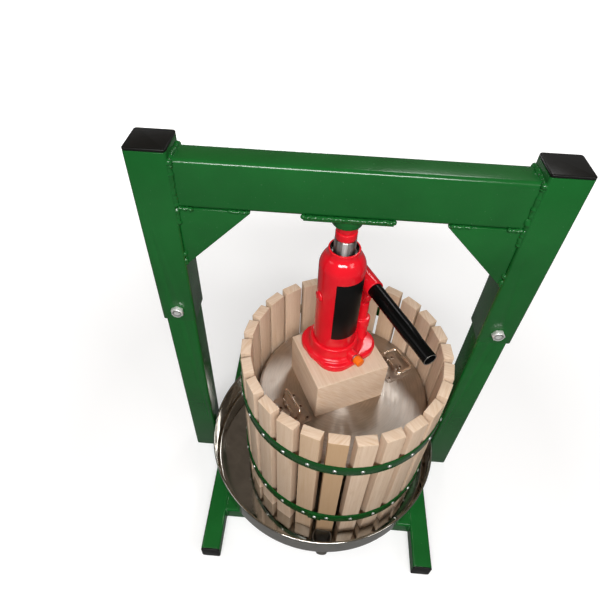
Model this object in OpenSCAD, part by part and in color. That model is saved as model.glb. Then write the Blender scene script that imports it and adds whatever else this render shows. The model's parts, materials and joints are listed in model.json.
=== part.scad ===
// Hydraulic wine press: a bolted steel frame, a stave basket in a drip tray,
// and a bottle jack that pushes a stainless plate down into the basket.
// Millimetres, +Z up, +X right, +Y away from the side that the lever and spout face.
// The origin is on the floor, midway between the posts and midway along the feet.

/* [Frame] */
// Distance between the centre lines of the two posts
post_spacing = 470; // [462:1:520]
// Outside width of the square upper sleeve of a post
sleeve_w = 50; // [46:1:60]
// Wall of the sleeve
sleeve_wall = 2.5; // [2:0.5:4]
// Height of the sleeve's lower end above the floor
sleeve_bottom = 390; // [370:1:410]
// Height of the sleeve's upper end above the floor
sleeve_top = 666; // [660:1:720]
// Play between sleeve and lower post on each side
post_play = 0.5; // [0.3:0.1:1]
// Wall of the lower post
post_wall = 2.5; // [2:0.5:4]
// How far the lower post reaches into the sleeve
post_insert = 110; // [70:1:150]
// Height of the top beam's section
beam_h = 65; // [55:1:75]
// Depth of the top beam's section
beam_d = 41; // [36:1:46]
// Wall of the top beam
beam_wall = 3; // [2:0.5:5]
// How far the beam's top lies below the sleeve's top
beam_drop = 10; // [4:1:16]
// Outside corner radius of every tube
tube_r = 4; // [3:0.5:5]
// Length of a gusset's two legs
gusset_len = 90; // [60:1:110]
// Width of a gusset's blunt ends
gusset_nose = 2; // [1:0.5:12]
// Thickness of a gusset plate
gusset_t = 5; // [4:0.5:8]
// Length of the pad plate under the beam
pad_l = 110; // [80:1:140]
// Depth of the pad plate, front to back
pad_d = 46; // [43:1:60]
// Thickness of the pad plate
pad_t = 5; // [4:0.5:8]
// Diameter of the round boss that the jack's saddle pushes against
boss_d = 40; // [36:1:46]
// Height of the boss under the pad plate
boss_h = 13; // [8:1:20]
// Height of the plastic cap on a sleeve
cap_h = 4; // [3:0.5:8]
// Length of the plug under each plastic cap
cap_plug = 12; // [8:1:20]
// Thread diameter of the frame bolts
bolt_d = 10; // [8:1:14]
// Height of the frame bolts above the sleeve's lower end
bolt_rise = 20; // [16:1:40]

/* [Base] */
// Width of a foot tube
foot_w = 32; // [28:1:36]
// Height of the foot tubes, the cross tubes and the base beam
foot_h = 32; // [30:1:36]
// Wall of the tubes of the base
foot_wall = 2.5; // [2:0.5:4]
// How far inwards of a post's centre line a foot's centre line lies
foot_inset = 51; // [45:1:57]
// Length of the feet over both plain ends
foot_len = 465; // [455:1:500]
// Thickness of the plastic cap on a foot
foot_cap = 3; // [2:0.5:5]
// Depth of the base beam between the posts
base_beam_d = 60; // [50:1:80]
// Depth of the two cross tubes
cross_d = 50; // [40:1:60]
// Room between the front cross tube and the middle of the tray's outlet
outlet_room = 35; // [26:1:51]

/* [Tray] */
// Gap between the tray's rim and a lower post on each side
tray_gap = 2; // [1:0.5:5]
// Height of the tray
tray_h = 58; // [50:1:70]
// Sheet thickness of the tray
tray_t = 1; // [0.8:0.1:1.5]
// How far the tray's wall leans out from floor to rim
tray_lean = 2; // [1:0.5:6]
// Radius between the tray's floor and wall
tray_corner = 6; // [4:0.5:10]
// Radius of the rolled rim
rim_r = 2; // [1.5:0.1:3]
// How far forward of the middle the loose tray stands
tray_forward = 18; // [0:1:20]
// Turn of the tray about its middle, which swings the outlet sideways
tray_turn = 2; // [-4:0.5:4]
// Outside diameter of the outlet spout
spout_d = 26; // [22:1:28]
// Wall of the outlet spout
spout_wall = 1.5; // [1:0.25:2]
// Length of the outlet spout below the tray's floor
spout_len = 23; // [20:1:28]
// Slope of the outlet spout below the horizontal
spout_slope = 42; // [40:1:50]
// How far inwards of the edge of the tray's floor the outlet's middle lies
outlet_inset = 24; // [23:1:32]

/* [Basket] */
// Number of staves
stave_count = 26; // [24:1:28]
// Length of a stave
stave_len = 316; // [290:1:330]
// Radial thickness of a stave
stave_t = 16; // [14:0.5:18]
// Gap between two staves at their inner faces
stave_gap = 5.2; // [4:0.1:10]
// How much narrower a stave's outer face is than its inner face
stave_taper = 2.5; // [0:0.5:6]
// Room between the staves' inner faces and the edge of the tray's floor
basket_room = 58; // [55:1:59]
// How far right of the middle the loose basket stands
basket_right = 22; // [0:1:24]
// How far forward of the middle the loose basket stands
basket_forward = 23; // [0:1:26]
// Turn of the basket about its middle
basket_turn = 3.6; // [0:0.1:13]
// Width of a hoop
hoop_w = 22; // [16:1:26]
// Thickness of a hoop
hoop_t = 2; // [1.5:0.25:3]
// Height of the lower hoop above the stave's lower end
lower_hoop_z = 55; // [40:1:80]
// Height of the upper hoop above the stave's lower end
upper_hoop_z = 232; // [200:1:260]
// Direction of the lower hoop's lap joint from the basket's middle. The upper hoop's is opposite
lap_turn = 259.7; // [259:0.1:260.4]
// Width of the hoops' lap joint in degrees
lap_span = 7.6; // [6:0.2:9]
// Shank diameter of the hoop screws
screw_d = 3; // [2.5:0.5:3.5]
// Length of a hoop screw's shank
screw_len = 13; // [10:1:15]

/* [Press plate] */
// Play all round between the press plate and the staves
plate_play = 5.5; // [4:0.5:10]
// How far right of the basket's middle the plate lies
plate_right = 2.5; // [-3:0.1:3]
// How far behind the basket's middle the plate lies
plate_back = 1.7; // [-2:0.1:2]
// Sheet thickness of the press plate
plate_t = 3; // [2:0.5:4]
// Depth of the plate's turned-down edge
plate_edge = 18; // [14:1:24]
// Outside radius of the plate's turned-down edge
plate_r = 6; // [5:0.5:8]
// Direction of the two folding handles, seen from the plate's middle
handle_turn = 33; // [30:0.5:36]
// How far inwards of the plate's edge a handle's hinge lies
hinge_inset = 41.5; // [40.5:0.5:43.5]
// How far the hinge lies outwards of the middle of the handle's base
hinge_shift = 4; // [2:0.5:5]
// Length of a handle's base, across the plate's radius
handle_base_l = 62; // [58:1:66]
// Depth of a handle's base, along the plate's radius
handle_base_d = 46; // [44:1:48]
// Sheet thickness of a handle's base
handle_base_t = 1.5; // [1:0.25:2]
// Wire diameter of the folding bail
bail_wire = 5; // [4:0.5:5.5]
// Length of the bail between wire centres
bail_l = 48; // [46:1:52]
// Depth of the bail between wire centres
bail_w = 27.5; // [24:0.5:30]
// Corner radius of the bail at the wire's centre
bail_r = 6; // [5:0.5:7]
// How far the left bail is folded up, where a flat bail points outwards
left_bail_lift = 100; // [0:5:110]

/* [Press block] */
// Room between each end of the wooden block and a handle's base, with the block in the plate's middle
block_room = 14; // [12:1:17]
// Width of the wooden block
block_w = 110; // [104:1:114]
// Height of the wooden block
block_h = 82; // [76:1:90]
// Turn of the block about the upright
block_turn = 25.5; // [24:0.5:28]
// How far right of the middle the block stands
block_right = 12; // [8:1:14]
// How far forward of the middle the block stands
block_forward = 8; // [4:1:12]

/* [Jack] */
// How far right of the middle the jack stands
jack_right = 1; // [-3:0.5:4]
// How far behind the middle the jack stands
jack_back = 2; // [-3:0.5:4]
// Turn of the jack about its axis, which points the release valve
jack_turn = -50; // [-54:1:-46]
// Turn of the pump and lever about the ram's axis, from the release valve
lever_turn = -11; // [-14:1:-4]
// Size of the jack's base along the release valve
base_l = 100; // [96:1:106]
// Size of the jack's base across the release valve
base_w = 106; // [104:1:112]
// Corner radius of the jack's base
base_r = 32; // [26:1:36]
// Thickness of the jack's base flange
base_t = 11; // [10:0.5:14]
// How far the base's middle lies to the pump's side of the ram axis
base_shift = 10; // [8:1:14]
// Outside diameter of the collar that holds the reservoir
collar_d = 76; // [72:1:80]
// Height of the collar's top above the base's underside
collar_top = 33; // [30:1:36]
// Outside diameter of the reservoir tube
tank_d = 66; // [64:1:68]
// Wall of the reservoir tube
tank_wall = 3; // [2.5:0.5:4]
// Height where the reservoir's shoulder begins, above the base's underside
shoulder_z = 182; // [170:1:186]
// Height of the neck's rim above the base's underside
neck_z = 208; // [204:1:212]
// Outside diameter of the neck
neck_d = 43; // [42:1:45]
// Bore of the jack's inner cylinder
cylinder_bore = 34; // [33:0.5:35]
// Wall of the jack's inner cylinder
cylinder_wall = 4; // [3:0.5:5]
// Diameter of the ram
ram_d = 30; // [28:0.5:30]
// Length of the ram
ram_len = 162; // [150:1:170]
// How far the ram stands out of the neck, which sets how deep the plate lies in the basket
ram_out = 16.6; // [10:0.1:60]
// Diameter of the extension screw
screw_core_d = 20; // [18:0.5:22]
// Length of the extension screw below the saddle
screw_core_len = 90; // [70:1:100]
// Diameter of the saddle on the extension screw
saddle_d = 29.4; // [27:0.2:30]
// Height of the saddle
saddle_h = 26; // [20:1:30]
// Diameter of the pump plunger
plunger_d = 12; // [10:0.5:13]
// Wall of the pump cylinder
pump_wall = 2; // [1.5:0.25:3]
// Height of the pump cylinder's top above the base's underside
pump_top = 84; // [76:1:85]
// Diameter of the lever's two pins
pin_d = 8; // [7:0.5:8.5]
// Distance between the lever's two pins
pin_gap = 25; // [24:0.5:27]
// Height of the fulcrum above the base's underside
fulcrum_z = 104.5; // [104:0.5:112]
// Slope of the lever at rest, below the horizontal
lever_slope = 1; // [-4:0.5:6]
// Height of the lever socket's axis over the fulcrum, square to the socket
socket_rise = 24; // [23:0.5:26]
// Wall of the lever socket
socket_wall = 2.1; // [1.5:0.1:3]
// Gap between the lever socket and the reservoir
socket_gap = 1.5; // [1:0.25:3]
// Length of the socket ahead of the fulcrum
socket_ahead = 44; // [40:1:50]
// Length of the socket behind the fulcrum
socket_behind = 12; // [8:1:16]
// Outside diameter of the handle rod
rod_d = 22; // [21:0.2:23]
// Play of the handle rod in its socket, on the radius
rod_play = 0.4; // [0.3:0.1:0.8]
// Wall of the handle rod's tube
rod_wall = 1.5; // [1:0.25:2.5]
// Length of the handle rod
rod_len = 182; // [150:1:190]
// How far the handle rod reaches into the socket
rod_insert = 45; // [35:1:50]
// Outside diameter of the rod's drawn-in end, which takes a longer handle
rod_end_d = 19.5; // [18:0.5:20.5]
// Length of the rod's drawn-in end
rod_end_len = 30; // [20:1:45]
// Offset of the release valve towards the pump's side of the ram axis
valve_side = 4; // [0:1:8]
// Height of the release valve above the base's underside
valve_z = 17; // [16:0.5:20]
// Diameter of the release valve's spindle
valve_d = 9; // [8:0.5:10]
// Diameter of the release knob
knob_d = 16; // [14:0.5:18]
// Length of the release knob
knob_len = 12; // [9:0.5:14]
// Height of the filler plug above the base's underside
plug_z = 129; // [110:1:140]
// Direction of the filler plug from the release valve, seen from the ram's axis
plug_turn = 260; // [240:1:270]
// Diameter of the filler plug's head
plug_d = 17; // [12:0.5:18]

/* [Hidden] */
$fn = 64;

// Clearances: bodies that only stand by each other, running fits, drilled holes
rest_gap = 0.3;
run_gap = 0.05;
drill_gap = 0.5;
seat_gap = 0.1;

// Frame
post_w = sleeve_w - 2 * sleeve_wall - 2 * post_play;
post_x = post_spacing / 2;
post_top = sleeve_bottom + post_insert;
beam_top = sleeve_top - beam_drop;
beam_bottom = beam_top - beam_h;
beam_l = post_spacing - sleeve_w;
pad_bottom = beam_bottom - pad_t;
boss_bottom = pad_bottom - boss_h;
bolt_z = sleeve_bottom + bolt_rise;
washer_t = 2;
washer_d = 2 * bolt_d;
nut_flats = 1.7 * bolt_d;
nut_h = 0.8 * bolt_d;
nut_collar_h = 0.2 * bolt_d;
bolt_head_h = 0.7 * bolt_d;
bolt_dish_d = 1.3 * bolt_d;
bolt_dish_h = 0.8;
bolt_tip = 2;
edge_break = 1.5;

// Base
foot_tip = foot_len / 2;
base_beam_l = post_spacing - post_w;
foot_x = post_x - foot_inset;
cross_l = 2 * foot_x - foot_w;

// Tray: radii are of the outer face
tray_r = base_beam_l / 2 - tray_gap - rim_r;
tray_floor_r = tray_r - tray_lean;
tray_floor = foot_h + tray_t;
outlet_reach = tray_floor_r - outlet_inset;
// The front cross tube clears the spout, and the rear one mirrors it
cross_reach = tray_forward + outlet_reach - outlet_room;

// Basket
basket_z = tray_floor + rest_gap;
basket_r = tray_floor_r - basket_room;
stave_step = 360 / stave_count;
stave_w_in = 2 * basket_r * tan(stave_step / 2) - stave_gap;
stave_w_out = stave_w_in - stave_taper;
stave_r = basket_r + stave_t;
hoop_r = norm([stave_r, stave_w_out / 2]) + seat_gap;
screw_head_d = 2.1 * screw_d;
screw_head_h = 0.6 * screw_d;

// Press plate and handles: heights above the plate's upper face
plate_d = 2 * (basket_r - plate_play);
hinge_reach = plate_d / 2 - hinge_inset;
block_l = 2 * (hinge_reach - hinge_shift - handle_base_d / 2 - block_room);
knuckle_r = bail_wire / 2 + rest_gap;
knuckle_web = 0.5;
bail_z = handle_base_t + knuckle_web + knuckle_r;
knuckle_t = 2;
knuckle_w = 9;
knuckle_y = 13;
rivet_d = 5;
rivet_head_d = 9;
rivet_head_h = 1.8;
rivet_hole_d = 3;
rivet_row = 7.5;
rivet_step = 23.5;

// Jack: heights above the base's underside, and the stack of jack, block and plate hangs from the boss
saddle_z = neck_z + ram_out + seat_gap;
saddle_top = saddle_z + saddle_h;
saddle_groove = 0.5 * saddle_h;
jack_z = boss_bottom - rest_gap - saddle_top;
plate_top = jack_z - block_h;
tank_r = tank_d / 2;
neck_r = neck_d / 2;
neck_h = 5;
neck_bore_r = neck_r - tank_wall;
neck_bore_h = 12;
// The cylinder and the reservoir stand just above the release valve's bore
cylinder_z = valve_z + valve_d / 2 + 1.5;
tank_z = cylinder_z + 1;
cylinder_r = cylinder_bore / 2 + cylinder_wall;
cylinder_top = shoulder_z;
gland_top = neck_z - 9;
gland_spigot = 10;
ram_top = neck_z + ram_out;
ram_bottom = ram_top - ram_len;
piston_h = 16;
seal_h = 5;

// Pump and lever: x along the lever from the pump's axis, y to the pump's side
socket_bore = rod_d + 2 * rod_play;
socket_d = socket_bore + 2 * socket_wall;
pump_side = tank_r + socket_gap + socket_d / 2;
pump_d = plunger_d + 2 * run_gap + 2 * pump_wall;
pump_boss_d = pump_d + 8;
pump_boss_top = collar_top + 1;
pump_collar_d = 27;
pump_collar_top = pump_boss_top + 18;
pump_floor = 22;
ball_d = 6;
ball_hole_d = ball_d + 2 * rest_gap;
ball_floor = 5;
tongue_t = 8;
yoke_t = 3.5;
yoke_in = tongue_t / 2 + rest_gap;
yoke_out = yoke_in + yoke_t;
// The yoke swings as far above the level as it rests below it
yoke_half_swing = 20;
yoke_line = lever_slope - yoke_half_swing;
pin_shift = pin_gap * (1 - cos(yoke_half_swing)) / 2;
fulcrum_x = pin_shift - pin_gap;
pin_z = fulcrum_z - pin_gap * sin(yoke_half_swing);
tongue_r = pin_d / 2 + pin_shift + 4.8;
plunger_bottom = pump_floor + 6;
bracket_w = 17;
rod_cone_len = 15;
valve_tip = 14;
knob_at = base_l / 2 + rest_gap;
plug_shank_d = 0.5 * plug_d;
plug_head_h = 3;

// Shared shapes

function arc(x, y, r, from, to, steps = 8) =
    [for (i = [0:steps]) let (a = from + (to - from) * i / steps) [x + r * cos(a), y + r * sin(a)]];

module rounded_rect(w, d, r) {
    square([w - 2 * r, d], center = true);
    square([w, d - 2 * r], center = true);
    for (x = [-1, 1], y = [-1, 1])
        translate([x * (w / 2 - r), y * (d / 2 - r)]) circle(r);
}

// A square or flat tube along +Z
module box_tube(w, d, wall, length) {
    linear_extrude(length)
        difference() {
            rounded_rect(w, d, tube_r);
            rounded_rect(w - 2 * wall, d - 2 * wall, max(tube_r - wall, 0.5));
        }
}

// A box tube along +X, its depth w along Y and its height d along Z
module tube_along_x(w, d, wall, length) {
    rotate([90, 0, 90]) box_tube(w, d, wall, length);
}

// A box tube along +Y, its width w along X and its height d along Z
module tube_along_y(w, d, wall, length) {
    translate([0, length, 0]) rotate([90, 0, 0]) box_tube(w, d, wall, length);
}

// A cylinder along -Y, starting at the origin
module rod_forward(d, length) {
    rotate([90, 0, 0]) cylinder(d = d, h = length);
}

module ring(r_in, r_out, h) {
    difference() {
        cylinder(r = r_out, h = h);
        translate([0, 0, -1]) cylinder(r = r_in, h = h + 2);
    }
}

// A plastic cap with a ribless plug that fits the bore of a tube, cap upwards
module tube_cap(w, d, wall, h) {
    linear_extrude(h - edge_break) rounded_rect(w, d, tube_r);
    translate([0, 0, h - edge_break])
        linear_extrude(edge_break)
            rounded_rect(w - 2 * edge_break, d - 2 * edge_break, tube_r - edge_break);
    bore_w = w - 2 * wall - 2 * seat_gap;
    bore_d = d - 2 * wall - 2 * seat_gap;
    translate([0, 0, -cap_plug])
        linear_extrude(cap_plug) rounded_rect(bore_w, bore_d, max(tube_r - wall, 0.5));
}

// Places

module at_posts() {
    for (side = [-1, 1]) translate([side * post_x, 0, 0]) children();
}

module at_basket() {
    translate([basket_right, -basket_forward, basket_z]) children();
}

module at_plate() {
    translate([basket_right + plate_right, plate_back - basket_forward, plate_top]) children();
}

// x points outwards along the plate's radius from the hinge of one handle
module at_handle(side) {
    at_plate() rotate([0, 0, handle_turn + (side > 0 ? 0 : 180)]) translate([hinge_reach, 0, 0]) children();
}

module at_jack() {
    translate([jack_right, jack_back, jack_z]) rotate([0, 0, jack_turn]) children();
}

// The pump's axis on the base's underside
module at_pump() {
    at_jack() rotate([0, 0, lever_turn]) translate([0, pump_side, 0]) children();
}

// The fulcrum, with x along the lever's rod and y along the pin
module at_lever() {
    at_pump() translate([fulcrum_x, 0, fulcrum_z]) rotate([0, lever_slope, 0]) children();
}

// The lever's rod axis at the fulcrum, z along the rod
module at_rod() {
    at_lever() translate([0, 0, socket_rise]) rotate([0, 90, 0]) children();
}

module at_valve() {
    at_jack() translate([0, valve_side, valve_z]) rotate([0, 90, 0]) children();
}

module at_plug() {
    at_jack() rotate([0, 0, plug_turn]) translate([0, 0, plug_z]) rotate([0, 90, 0]) children();
}

// Frame

module bolt_hole(depth) {
    translate([0, depth / 2 + 1, bolt_z]) rod_forward(bolt_d + 2 * drill_gap, depth + 2);
}

module sleeve() {
    color("darkgreen")
        difference() {
            translate([0, 0, sleeve_bottom])
                box_tube(sleeve_w, sleeve_w, sleeve_wall, sleeve_top - sleeve_bottom);
            bolt_hole(sleeve_w);
        }
}

module lower_post() {
    color("darkgreen")
        difference() {
            box_tube(post_w, post_w, post_wall, post_top);
            bolt_hole(post_w);
        }
}

module left_sleeve() {
    translate([-post_x, 0, 0]) sleeve();
}

module right_sleeve() {
    translate([post_x, 0, 0]) sleeve();
}

module left_lower_post() {
    translate([-post_x, 0, 0]) lower_post();
}

module right_lower_post() {
    translate([post_x, 0, 0]) lower_post();
}

module sleeve_caps() {
    color("#1b1b1d")
        at_posts() translate([0, 0, sleeve_top]) tube_cap(sleeve_w, sleeve_w, sleeve_wall, cap_h);
}

module top_beam() {
    color("darkgreen")
        translate([-beam_l / 2, 0, beam_top - beam_h / 2]) tube_along_x(beam_d, beam_h, beam_wall, beam_l);
}

// A triangular plate in the corner under the beam, its outer face in the plane y = 0
module gusset_pair() {
    for (side = [0, 1])
        mirror([side, 0, 0])
            translate([-beam_l / 2, 0, beam_bottom])
                rotate([90, 0, 0])
                    linear_extrude(gusset_t)
                        polygon([
                            [0, 0], [gusset_len, 0], [gusset_len, -gusset_nose],
                            [gusset_nose, -gusset_len], [0, -gusset_len]
                        ]);
}

module front_gussets() {
    color("darkgreen") translate([0, gusset_t - beam_d / 2, 0]) gusset_pair();
}

module rear_gussets() {
    color("darkgreen") translate([0, beam_d / 2, 0]) gusset_pair();
}

module pad_plate() {
    color("darkgreen")
        translate([-pad_l / 2, -pad_d / 2, pad_bottom]) cube([pad_l, pad_d, pad_t]);
}

module thrust_boss() {
    color("darkgreen") translate([0, 0, boss_bottom]) cylinder(d = boss_d, h = boss_h);
}

// A hexagon along -Y, one corner to the right
module hex_forward(flats, length) {
    rotate([90, 0, 0]) cylinder(d = flats / cos(30), h = length, $fn = 6);
}

// A bolt from front to back through sleeve and post, with a dished head in front
module frame_bolt(head_turn) {
    shank = sleeve_w + washer_t + nut_h + nut_collar_h + bolt_tip;
    translate([0, shank - sleeve_w / 2, bolt_z]) rod_forward(bolt_d, shank);
    translate([0, -sleeve_w / 2, bolt_z])
        difference() {
            rotate([0, head_turn, 0]) hex_forward(nut_flats, bolt_head_h);
            translate([0, bolt_dish_h - bolt_head_h, 0]) rod_forward(bolt_dish_d, bolt_head_h);
        }
}

module frame_bolts() {
    color("silver") {
        translate([-post_x, 0, 0]) frame_bolt(30);
        translate([post_x, 0, 0]) frame_bolt(0);
    }
}

module frame_washers() {
    color("silver")
        at_posts()
            translate([0, sleeve_w / 2, bolt_z])
                rotate([-90, 0, 0]) ring(bolt_d / 2 + drill_gap, washer_d / 2, washer_t);
}

// Locking nuts at the back, with a round collar on their outer face
module frame_nuts() {
    color("silver")
        at_posts()
            translate([0, sleeve_w / 2 + washer_t, bolt_z])
                difference() {
                    union() {
                        translate([0, nut_h, 0]) hex_forward(nut_flats, nut_h);
                        translate([0, nut_h + nut_collar_h, 0]) rod_forward(0.9 * nut_flats, nut_collar_h);
                    }
                    translate([0, 2 * nut_h, 0]) rod_forward(bolt_d + 2 * seat_gap, 3 * nut_h);
                }
}

// Base

module base_beam() {
    color("darkgreen")
        translate([-base_beam_l / 2, 0, foot_h / 2])
            tube_along_x(base_beam_d, foot_h, foot_wall, base_beam_l);
}

// One foot tube in front of the base beam, side -1 left and 1 right
module front_foot(side) {
    color("darkgreen")
        translate([side * foot_x, -foot_tip, foot_h / 2])
            tube_along_y(foot_w, foot_h, foot_wall, foot_tip - base_beam_d / 2);
}

module left_front_foot() {
    front_foot(-1);
}

module right_front_foot() {
    front_foot(1);
}

module left_rear_foot() {
    mirror([0, 1, 0]) front_foot(-1);
}

module right_rear_foot() {
    mirror([0, 1, 0]) front_foot(1);
}

module front_cross_tube() {
    color("darkgreen")
        translate([-cross_l / 2, cross_d / 2 - cross_reach, foot_h / 2])
            tube_along_x(cross_d, foot_h, foot_wall, cross_l);
}

module rear_cross_tube() {
    mirror([0, 1, 0]) front_cross_tube();
}

module foot_caps() {
    color("#1b1b1d")
        for (side = [-1, 1], back = [0, 1])
            mirror([0, back, 0])
                translate([side * foot_x, -foot_tip, foot_h / 2])
                    rotate([90, 0, 0]) tube_cap(foot_w, foot_h, foot_wall, foot_cap);
}

// Tray

module tray_shell() {
    lean = atan2(tray_lean, tray_h);
    corner_x = tray_floor_r - tray_corner;
    bend_end = -lean;
    rotate_extrude($fn = 128) {
        polygon(concat(
            [[0, 0]],
            arc(corner_x, tray_corner, tray_corner, -90, bend_end),
            [[tray_r, tray_h - rim_r], [tray_r - tray_t, tray_h - rim_r]],
            arc(corner_x, tray_corner, tray_corner - tray_t, bend_end, -90),
            [[0, tray_t]]
        ));
        translate([tray_r, tray_h - rim_r]) circle(rim_r, $fn = 32);
    }
}

// The outlet's axis where it meets the tray's floor, z sloping forwards and down
module at_outlet() {
    translate([0, -outlet_reach, tray_t]) rotate([90 + spout_slope, 0, 0]) children();
}

module at_tray() {
    translate([0, -tray_forward, foot_h]) rotate([0, 0, tray_turn]) children();
}

module tray_pan() {
    color("silver")
        at_tray()
            difference() {
                tray_shell();
                at_outlet() translate([0, 0, -spout_d]) cylinder(d = spout_d + 2 * seat_gap, h = 2 * spout_d);
            }
}

// A sloping tube, cut level with the tray's floor
module outlet_spout() {
    color("silver")
        at_tray()
            difference() {
                at_outlet() translate([0, 0, -spout_d]) cylinder(d = spout_d, h = spout_d + spout_len);
                at_outlet()
                    translate([0, 0, -spout_d - 1])
                        cylinder(d = spout_d - 2 * spout_wall, h = spout_d + spout_len + 2);
                translate([-spout_d, -outlet_reach - 2 * spout_d, tray_t])
                    cube([2 * spout_d, 4 * spout_d, 2 * spout_d]);
            }
}

// Basket

module at_screws() {
    for (i = [0:stave_count - 1], z = [lower_hoop_z, upper_hoop_z])
        rotate([0, 0, basket_turn + i * stave_step])
            translate([hoop_r + hoop_t, 0, z + hoop_w / 2])
                rotate([0, -90, 0]) children();
}

// One extra screw closes the lap of each hoop, between two staves
module at_lap_screws() {
    for (lap = [[lower_hoop_z, lap_turn], [upper_hoop_z, lap_turn + 180]])
        rotate([0, 0, lap[1]])
            translate([hoop_r + 2 * hoop_t, 0, lap[0] + hoop_w / 2])
                rotate([0, -90, 0]) children();
}

module screw_hole() {
    translate([0, 0, -2 * hoop_t])
        cylinder(d = screw_d + 2 * seat_gap, h = screw_len + 2 * hoop_t + seat_gap);
}

module screw(length) {
    cylinder(d = screw_d, h = length);
    translate([0, 0, -screw_head_h]) cylinder(d1 = 0.6 * screw_head_d, d2 = screw_head_d, h = screw_head_h);
}

module staves() {
    color("burlywood")
        at_basket()
            difference() {
                for (i = [0:stave_count - 1])
                    rotate([0, 0, basket_turn + i * stave_step])
                        linear_extrude(stave_len)
                            polygon([
                                [basket_r, -stave_w_in / 2], [stave_r, -stave_w_out / 2],
                                [stave_r, stave_w_out / 2], [basket_r, stave_w_in / 2]
                            ]);
                at_screws() screw_hole();
            }
}

module hoop(z, lap) {
    color("darkgreen")
        at_basket()
            difference() {
                translate([0, 0, z]) {
                    ring(hoop_r, hoop_r + hoop_t, hoop_w, $fn = 128);
                    rotate([0, 0, lap - lap_span / 2])
                        rotate_extrude(angle = lap_span, $fn = 128)
                            translate([hoop_r + hoop_t / 2, 0]) square([1.5 * hoop_t, hoop_w]);
                }
                at_screws() screw_hole();
                at_lap_screws() screw_hole();
            }
}

module lower_hoop() {
    hoop(lower_hoop_z, lap_turn);
}

module upper_hoop() {
    hoop(upper_hoop_z, lap_turn + 180);
}

module hoop_screws() {
    color("gainsboro")
        at_basket() {
            at_screws() screw(screw_len);
            at_lap_screws() screw(2 * hoop_t);
        }
}

// Press plate

module at_rivets() {
    inner = rivet_row - handle_base_d / 2 - hinge_shift;
    outer = handle_base_d / 2 - rivet_row - hinge_shift;
    for (t = [-1, 0, 1]) translate([inner, t * rivet_step, 0]) children();
    for (t = [-1, 1]) translate([outer, t * rivet_step / 2, 0]) children();
}

module press_plate() {
    edge_x = plate_d / 2 - plate_r;
    color("lightgray")
        difference() {
            at_plate()
                rotate_extrude($fn = 128)
                    polygon(concat(
                        [[0, 0]],
                        arc(edge_x, -plate_r, plate_r, 90, 0),
                        [[plate_d / 2, -plate_edge], [plate_d / 2 - plate_t, -plate_edge]],
                        arc(edge_x, -plate_r, plate_r - plate_t, 0, 90),
                        [[0, -plate_t]]
                    ));
            for (side = [-1, 1])
                at_handle(side) at_rivets()
                    translate([0, 0, -2 * plate_t]) cylinder(d = rivet_d + 2 * seat_gap, h = 3 * plate_t);
        }
}

// A riveted strip with two knuckles that hold one leg of the bail
module handle_base(side) {
    color("silver")
        at_handle(side) {
            difference() {
                translate([-hinge_shift, 0, 0])
                    linear_extrude(handle_base_t) rounded_rect(handle_base_d, handle_base_l, bail_r);
                at_rivets() translate([0, 0, -1]) cylinder(d = rivet_d + 2 * seat_gap, h = handle_base_t + 2);
            }
            for (t = [-1, 1])
                translate([0, t * knuckle_y + knuckle_w / 2, 0])
                    rotate([90, 0, 0])
                        linear_extrude(knuckle_w)
                            difference() {
                                union() {
                                    translate([0, bail_z]) circle(knuckle_r + knuckle_t);
                                    translate([-knuckle_r - knuckle_t, handle_base_t])
                                        square([2 * (knuckle_r + knuckle_t), bail_z - handle_base_t]);
                                }
                                translate([0, bail_z]) circle(knuckle_r);
                                translate([-handle_base_d / 2, -handle_base_d])
                                    square([handle_base_d, handle_base_d + handle_base_t]);
                            }
        }
}

module left_handle_base() {
    handle_base(-1);
}

module right_handle_base() {
    handle_base(1);
}

module handle_rivets() {
    color("silver")
        for (side = [-1, 1])
            at_handle(side) at_rivets()
                difference() {
                    union() {
                        translate([0, 0, -plate_t]) cylinder(d = rivet_d, h = plate_t + handle_base_t);
                        translate([0, 0, handle_base_t])
                            cylinder(d1 = rivet_head_d, d2 = 0.6 * rivet_head_d, h = rivet_head_h);
                    }
                    translate([0, 0, -2 * plate_t]) cylinder(d = rivet_hole_d, h = 4 * plate_t);
                }
}

// A wire loop with round corners, one long leg on the hinge, the other lifted from outwards
module bail(side, lift) {
    long_leg = bail_l - 2 * bail_r;
    short_leg = bail_w - 2 * bail_r;
    color("silver")
        at_handle(side) translate([0, 0, bail_z]) rotate([0, -lift, 0]) {
            for (x = [0, bail_w])
                translate([x, -long_leg / 2, 0]) rotate([-90, 0, 0]) cylinder(d = bail_wire, h = long_leg);
            for (y = [-bail_l / 2, bail_l / 2])
                translate([bail_r, y, 0]) rotate([0, 90, 0]) cylinder(d = bail_wire, h = short_leg);
            for (x = [0, 1], y = [0, 1])
                translate([x ? bail_w - bail_r : bail_r, (y - 0.5) * long_leg, 0])
                    rotate([0, 0, x ? (y ? 0 : 270) : (y ? 90 : 180)])
                        rotate_extrude(angle = 90)
                            translate([bail_r, 0]) circle(d = bail_wire);
        }
}

module left_bail() {
    bail(-1, left_bail_lift);
}

module right_bail() {
    bail(1, 0);
}

// Press block

module press_block() {
    color("wheat")
        translate([block_right, -block_forward, plate_top])
            rotate([0, 0, block_turn])
                translate([-block_l / 2, -block_w / 2, 0]) cube([block_l, block_w, block_h]);
}

// Jack

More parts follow.
